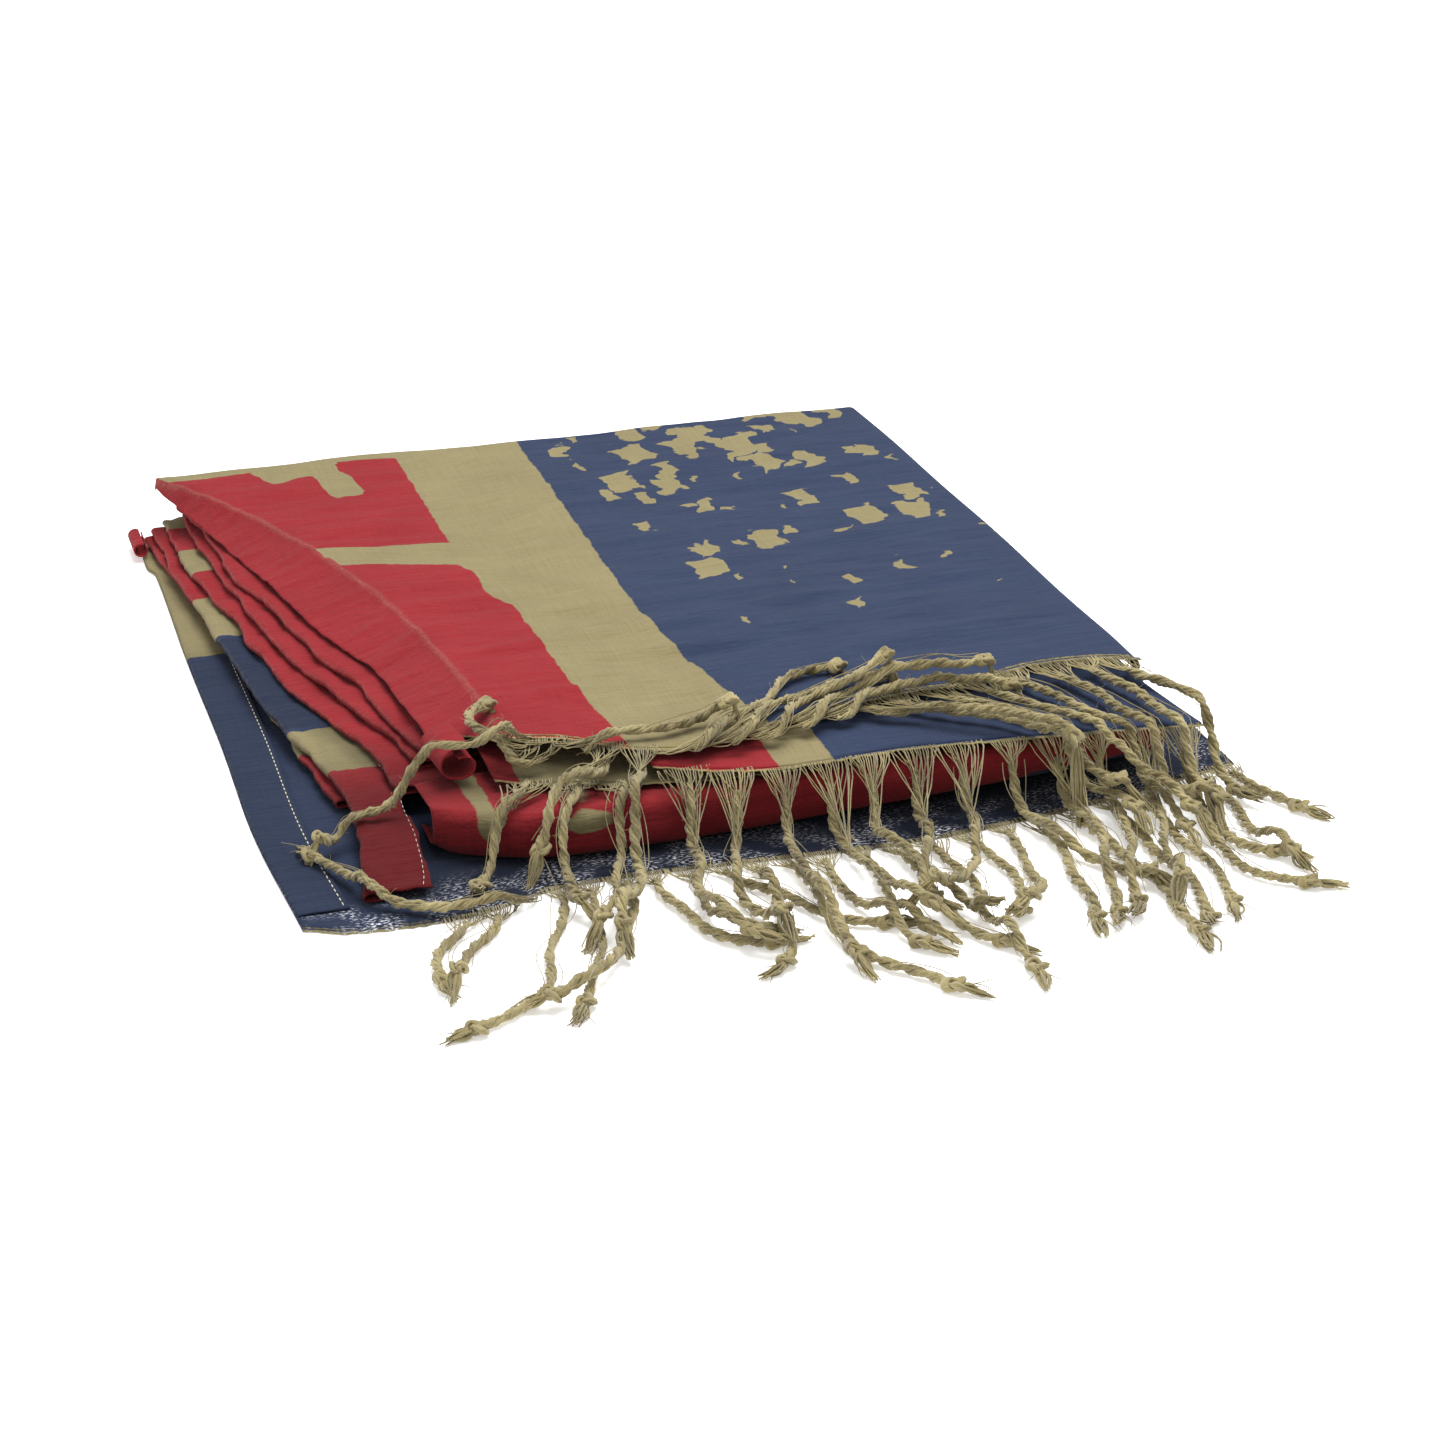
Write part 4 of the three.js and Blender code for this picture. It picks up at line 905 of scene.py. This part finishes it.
SHEETS = list(FRINGES)
FINE_STEP, STEEPEST = 2, 2.3
LIES_OVER = {"front_fold": 19.4, "third_sheet": 20.6, "second_sheet": 24.8, "band": 27.6}


def edge_points(sheet):
    """The sheet's front edge from right to left, at the same places as on the solids."""
    edge = EDGES[sheet]
    if sheet != "top_sheet":
        x = np.linspace(edge["x"].max(), edge["x"].min(), 21)
        z = np.full(21, 1.2) if sheet == "base_sheet" else follow(edge, "x", x, "z")
        return np.stack([x, follow(edge, "x", x, "y"), z], 1)
    crease = follow(TOP_CREASE, "y", np.array([TOP_SIDE_FRONT]), "x")[0]
    rolled = np.radians([-30, 10, 50, 90])
    x = np.concatenate([[TOP_RIGHT - 2], TOP_RIGHT + ROLL * np.cos(rolled),
                        np.linspace(TOP_RIGHT - 12, crease + 5, 10), [crease]])
    drop = np.concatenate([[2 * ROLL], ROLL * (1 - np.sin(rolled)), np.zeros(10), [0.7]])
    return np.stack([x, follow(edge, "x", x, "y"), follow(edge, "x", x, "z") - drop], 1)


def surface_under(x, y, sheet, beyond_root):
    """What a cord of that sheet's fringe would lie on at a place."""
    level = SHEETS.index(sheet)

    def over(name):
        edge = EDGES[name]
        on = (x > edge["x"].min() - 2) & (x < edge["x"].max() + 4) & (y > follow(edge, "x", x, "y") - 7)
        return on & (level >= SHEETS.index(name)) & (beyond_root | (sheet != name))

    height = np.where(over("base_sheet"), 1.2 + PARTING + np.where(x < -137, 0.5, 0), 0.0)
    turned = FOLDS["fold_5"]
    over_turned = (x > follow(turned, "y", y, "x") - 3) & (x < -108) & (y > -94)
    height = np.where(over_turned, follow(turned, "y", y, "z") + 1.9, height)
    over_face = (level > 0) & (x > -112) & (x < 118) & (y > follow(FRONT_FOLD, "x", x, "y") - 2.5)
    height = np.where(over_face, LIES_OVER["front_fold"], height)
    for name in ("third_sheet", "second_sheet"):
        height = np.where(over(name), LIES_OVER[name], height)
    over_band = (level > 0) & (x < -82) & (y > -56) & (x > follow(BAND_EDGE, "y", y, "x") - 5)
    height = np.where(over_band, LIES_OVER["band"], height)
    over_top = over("top_sheet") & (x > follow(TOP_CREASE, "y", y, "x") - 14)
    return np.where(over_top, top_height(x, y) + 0.5, height)


def lay_cord(sheet, edge, row, laid):
    """A cord's route: its row gives it in plan, and it lies as low as what is under it allows."""
    at, heading, turn, hook, length = row
    place = int(np.argmax(edge[:, 0] <= at))
    right, left = edge[place - 1], edge[place]
    root = right + (left - right) * (right[0] - at) / (right[0] - left[0])
    root = root + np.array([0, -STRIP_WIDTH * 0.75, -0.5])
    run = np.arange(FINE_STEP, length + 1e-9, FINE_STEP)
    share = run / length
    degrees = heading + turn * share + hook * ease(share, 0.45, 1) + 7 * np.sin(run / 9 + at)
    angle = np.radians(degrees) * ease(run, -4, 15)
    x = np.concatenate([[root[0]], root[0] + np.cumsum(FINE_STEP * np.sin(angle))])
    y = np.concatenate([[root[1]], root[1] - np.cumsum(FINE_STEP * np.cos(angle))])
    beyond = np.arange(len(x)) * FINE_STEP > 9
    needed = surface_under(x, y, sheet, beyond) + CORD_RADIUS + PARTING
    if laid:
        others = np.concatenate(laid)
        apart = np.hypot(others[:, 0] - x[:, None], others[:, 1] - y[:, None])
        over = others[:, 2] + np.sqrt(np.clip(CORD_SPACING ** 2 - apart ** 2, 0, None))
        needed = np.maximum(needed, np.max(np.where(apart < CORD_SPACING, over, 0), axis=1))
    needed[0] = root[2]
    index = np.arange(len(x))
    heights = np.max(needed[None, :] - STEEPEST * FINE_STEP * np.abs(index[:, None] - index[None, :]), axis=1)
    for _ in range(4):
        before, after = heights[np.maximum(index - 1, 0)], heights[np.minimum(index + 1, index[-1])]
        heights = np.maximum(needed, (before + 2 * heights + after) / 4)
    heights[0] = root[2]
    route = np.stack([x, y, heights], 1)
    gone = np.concatenate([[0], np.cumsum(np.linalg.norm(np.diff(route, axis=0), axis=1))])
    return route[gone <= length]


CORD_STEP = 1.3
YARN_RADIUS, YARN_OFFSET, YARN_PITCH = 0.66, 0.50, 8.0
PLY_OFFSET, TWIST_PITCH = 0.64, 11.5
KNOT_RADIUS, KNOT_FROM_TIP = 0.72, 9
FAN_LENGTH, FAN_THREADS, LOOSE_THREADS, TIP_THREADS, HAIRS = 15, 19, 2, 20, 11
FAN_RADIUS, LOOSE_RADIUS, HAIR_RADIUS = 0.19, 0.13, 0.06


def resampled(route, step):
    gone = np.concatenate([[0], np.cumsum(np.linalg.norm(np.diff(route, axis=0), axis=1))])
    at = np.linspace(0, gone[-1], max(int(gone[-1] / step), 2) + 1)
    smooth = np.stack([np.interp(at, gone, route[:, k]) for k in range(3)], 1)
    for _ in range(3):
        smooth[1:-1] = (smooth[:-2] + 2 * smooth[1:-1] + smooth[2:]) / 4
    return at, smooth


def directions(points):
    ahead = np.gradient(points, axis=0)
    ahead /= np.linalg.norm(ahead, axis=1)[:, None]
    side = np.stack([ahead[:, 1], -ahead[:, 0], 0 * ahead[:, 0]], 1)
    side /= np.maximum(np.linalg.norm(side, axis=1), 1e-6)[:, None]
    return ahead, side, np.cross(side, ahead)


def twisted_cord(route, edge_here, fan_half, luck):
    """The plies and the thin threads of one cord, as lists of (points, radii)."""
    at, middle = resampled(route, CORD_STEP)
    ahead, side, up = directions(middle)
    length = at[-1]
    sway = 1.0 * np.sin(at / 11 + luck.uniform(0, 6.3)) + 0.6 * np.sin(at / 5.1 + luck.uniform(0, 6.3))
    sway = sway * (2.0 if middle[-1][2] > 26 else 1.1)
    middle = middle + (sway * ease(at, 6, 25))[:, None] * side
    closing = ease(at, 3, FAN_LENGTH)
    plies, threads = [], []
    phase = luck.uniform(0, 6.3)
    pitch = TWIST_PITCH * luck.uniform(0.85, 1.35)
    stout = luck.uniform(0.85, 1.08)
    shown = (at > 4) & (at < length - 6.5)

    def around(line, turn, reach):
        return line + (reach * np.cos(turn))[:, None] * side + (reach * np.sin(turn))[:, None] * up

    # Two plies of three yarns each.
    for ply in (0, math.pi):
        turn = 2 * math.pi * at / pitch + phase + ply + 2.2 * np.sin(at / 16 + phase)
        slack = 1 + 0.14 * np.sin(at / 8 + phase) + 0.06 * np.sin(at / 2.9 + ply)
        laid = around(middle, turn, PLY_OFFSET * stout * (0.35 + 0.65 * closing) * slack)
        for yarn in (0, 2.09, 4.19):
            turn = 2 * math.pi * at / YARN_PITCH + yarn
            line = around(laid, turn, YARN_OFFSET * (1 + 0.2 * np.sin(at / 4 + yarn + ply)))
            radii = YARN_RADIUS * stout * (0.4 + 0.6 * closing) * (1 + 0.08 * np.sin(at / 2.3 + ply + yarn))
            plies.append((line[shown], radii[shown]))

    # An overhand knot of three strands side by side.
    here = int(np.argmin(np.abs(at - (length - KNOT_FROM_TIP))))
    size = luck.uniform(0.75, 1.0)
    turn = np.linspace(0, 2 * math.pi, 40) + phase
    centre = middle[here] + np.array([0, 0, max(0.0, 2.3 - middle[here][2])])
    for lean in (-0.6, 0, 0.6):
        loop = (centre + np.outer(size * (np.sin(turn) + 2 * np.sin(2 * turn)) + lean, ahead[here])
                + np.outer(size * (np.cos(turn) - 2 * np.cos(2 * turn)), side[here])
                + np.outer(-1.0 * np.sin(3 * turn) + 0.4 * lean, up[here]))
        plies.append((loop, np.full(40, KNOT_RADIUS)))

    # The fan of warp threads that leave the cloth's edge and run into the cord.
    fan_half = fan_half * luck.uniform(0.8, 1.2)
    for k in range(FAN_THREADS):
        across = (k / (FAN_THREADS - 1) - 0.5) * 2 * luck.uniform(0.9, 1.1)
        start = edge_here + np.array([across * fan_half, 0, 0.1])
        meet = int(np.argmin(np.abs(at - luck.uniform(9, max(14, 8 * fan_half - 27)))))
        merged = middle[meet] + 0.9 * (side[meet] * across + up[meet] * luck.uniform(-0.6, 0.9))
        leave = start + np.array([across * 0.8, -5 - luck.uniform(0, 2.5), -0.3])
        arrive = middle[meet] - ahead[meet] * 5 + side[meet] * across * 1.8
        t = np.linspace(0, 1, 9)[:, None]
        line = ((1 - t) ** 3 * start + 3 * t * (1 - t) ** 2 * leave
                + 3 * t**2 * (1 - t) * arrive + t**3 * merged)
        line[1:-1] += luck.normal(0, 0.14, (7, 3))
        threads.append((line, np.full(9, FAN_RADIUS)))

    # Threads that have worked loose beside the cord.
    for _ in range(LOOSE_THREADS):
        wander = luck.uniform(1.0, 3.8) * np.sin(at / luck.uniform(6, 15) + luck.uniform(0, 6.3))
        lifted = 1.1 + luck.uniform(0.2, 1.2) * np.sin(at / 9 + phase)
        line = (middle + wander[:, None] * side + lifted[:, None] * up)[4:-8:2]
        line[:, 2] = np.maximum(line[:, 2], 0.3)
        threads.append((line, np.full(len(line), LOOSE_RADIUS)))

    # The frayed tip past the knot, one thread in five thin and astray.
    tip = centre + 1.5 * ahead[here]
    tip[2] = middle[here][2]
    for k in range(TIP_THREADS):
        reach = luck.uniform(6, 10)
        astray = 0.35 if k % 5 == 0 else 0.08
        spread = side[-1] * luck.normal(0, astray) + up[-1] * luck.normal(0, astray / 2)
        bulge = side[-1] * luck.normal(0, 1.0) + up[-1] * luck.normal(0, 0.6)
        t = np.linspace(0, 1, 7)[:, None]
        line = tip + (ahead[-1] + spread) * reach * t + bulge * np.sin(math.pi * t**0.8)
        line[:, 2] = np.maximum(line[:, 2] - 0.8 * t[:, 0] * (tip[2] - 0.9), 0.5)
        threads.append((line, (0.5 if k % 5 else 0.2) * (1 - 0.55 * t[:, 0])))

    # Stray fibres that stand off the cord.
    for _ in range(HAIRS):
        k = luck.integers(5, max(len(at) - 12, 6))
        out = side[k] * luck.normal(0, 1) + up[k] * abs(luck.normal(0, 1)) + ahead[k] * luck.normal(0, 1)
        t = np.linspace(0, 1, 4)[:, None]
        line = middle[k] + out * (1.2 + 2.4 * t) / max(np.linalg.norm(out), 0.1)
        line = line + luck.normal(0, 0.3, (4, 3)) * t
        line[:, 2] = np.maximum(line[:, 2], 0.3)
        threads.append((line, np.full(4, HAIR_RADIUS)))
    return plies, threads


def cord_material():
    """Twisted cotton yarn: matt, hairy, olive tan, with darker and paler fibres along the twist."""
    material = new_material("twisted_cotton_yarn", {
        "Roughness": 0.9, "Specular IOR Level": 0.2, "Sheen Weight": 0.35})
    tree = material.node_tree
    surface = tree.nodes["Principled BSDF"].inputs
    place = add_node(tree, "TexCoord", output="Object")
    broad = add_node(tree, "TexNoise", {"Vector": place, "Scale": 90.0, "Detail": 3.0}, "Fac")
    fibres = add_node(tree, "TexNoise", {"Vector": place, "Scale": 1500.0, "Detail": 3.0,
                                         "Roughness": 0.7}, "Fac")
    tone = add_node(tree, "Math", [fibres, 0.5, broad], operation="MULTIPLY_ADD")
    colour = add_node(tree, "ValToRGB", [tone])
    stops = colour.node.color_ramp.elements
    stops[0].position = 0.45
    stops[0].color = linear("#5c5030")
    stops[1].position = 1.0
    stops[1].color = linear("#ac9f72")
    tree.links.new(colour, surface["Base Color"])
    bump = add_node(tree, "Bump", {"Height": fibres, "Strength": 0.5, "Distance": 0.0003})
    tree.links.new(bump, surface["Normal"])
    return material


cord_cotton = cord_material()


def spin_strands(name, strands):
    """Round strands of cotton, each from its line and its radii in millimetres, joined as one mesh."""
    curve = bpy.data.curves.new(name, "CURVE")
    curve.dimensions = "3D"
    curve.bevel_depth = 0.001
    curve.bevel_resolution = 0
    curve.use_fill_caps = True
    for line, radii in strands:
        if len(line) < 2:
            continue
        spline = curve.splines.new("POLY")
        spline.points.add(len(line) - 1)
        spline.points.foreach_set("co", np.column_stack([placed(line), np.ones(len(line))]).ravel())
        spline.points.foreach_set("radius", np.asarray(radii, float))
    drawn = add_object(name, curve)
    bpy.context.view_layer.update()
    mesh = bpy.data.meshes.new_from_object(drawn.evaluated_get(bpy.context.evaluated_depsgraph_get()))
    bpy.data.objects.remove(drawn)
    bpy.data.curves.remove(curve)
    mesh.name = name
    mesh.materials.clear()
    mesh.materials.append(cord_cotton)
    mesh.shade_smooth()
    piece = add_object(name, mesh)
    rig.ride(piece, "root")
    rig.slot(piece, "fringe_cotton")
    return piece


def strip_form(edge, left, lift):
    def form(u, v):
        x = left + u * (edge["x"].max() - left)
        front = follow(edge, "x", x, "y")
        z = lift if lift else follow(edge, "x", x, "z") - 0.25
        fray = 0.5 * unevenness(x, 0 * x, 2.2, 1, 71) * (1 - v)
        return np.stack([x, front - 1.7 * (1 - v) - fray, z + 0 * x], 1)
    return form


def strip_zones(zones):
    def frayed(points, u, v):
        found = zones(points, u, v)
        found["bare_mm"] = 0.7 - 1.6 * v
        return found
    return frayed


TOP_FRINGE_LEFT = -85
SHEET_ZONES = {"base_sheet": base_zones, "third_sheet": third_zones, "second_sheet": second_zones,
               "top_sheet": top_zones}
laid_cords = []
FRINGED_CUTS = {
    "base_sheet": (base_sheet, (0.298, 0.308), "laid", []),
    "third_sheet": (third_sheet, (0.089, 0.042), "folded", [front_fold]),
    "second_sheet": (second_sheet, (0.168, 0.057), "folded", [third_sheet, hidden_layers]),
    "top_sheet": (top_sheet, (0.253, 0.270), "folded", [second_sheet, hidden_layers])}
for seed, sheet in enumerate(SHEETS):
    node = sheet.replace("sheet", "fringe")
    edge = edge_points(sheet)
    edge = edge[edge[:, 0] > TOP_FRINGE_LEFT] if sheet == "top_sheet" else edge
    fan_half = 5.2 if sheet == "base_sheet" else 6.6
    luck = np.random.default_rng(100 + seed)
    plies, threads = [], []
    for row in FRINGES[sheet]:
        route = lay_cord(sheet, edge, row, laid_cords)
        laid_cords.append(route)
        root = route[0] + np.array([0, STRIP_WIDTH * 0.75 - 1, 0.4])
        made = twisted_cord(route, root, fan_half, luck)
        plies += made[0]
        threads += made[1]
    cords = spin_strands(node + "_cords", plies)
    loose = spin_strands(node + "_threads", threads)
    left = TOP_FRINGE_LEFT if sheet == "top_sheet" else EDGES[sheet]["x"].min()
    lift = 0.6 if sheet == "base_sheet" else 0
    strip = lay_cloth(node + "_strip", 160, 4, strip_form(EDGES[sheet], left, lift),
                      strip_zones(SHEET_ZONES[sheet]), node, "fringe_cotton", 0.3)
    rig.replaces(cords, node)
    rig.sheet(*FRINGED_CUTS[sheet], with_pieces=[cords, loose, strip])

visual_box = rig.bounds()
with open("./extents.json", "w") as out:
    json.dump({"cad": [list(map(float, corner)) for corner in cad_box],
               "visual": [list(map(float, corner)) for corner in visual_box]}, out)
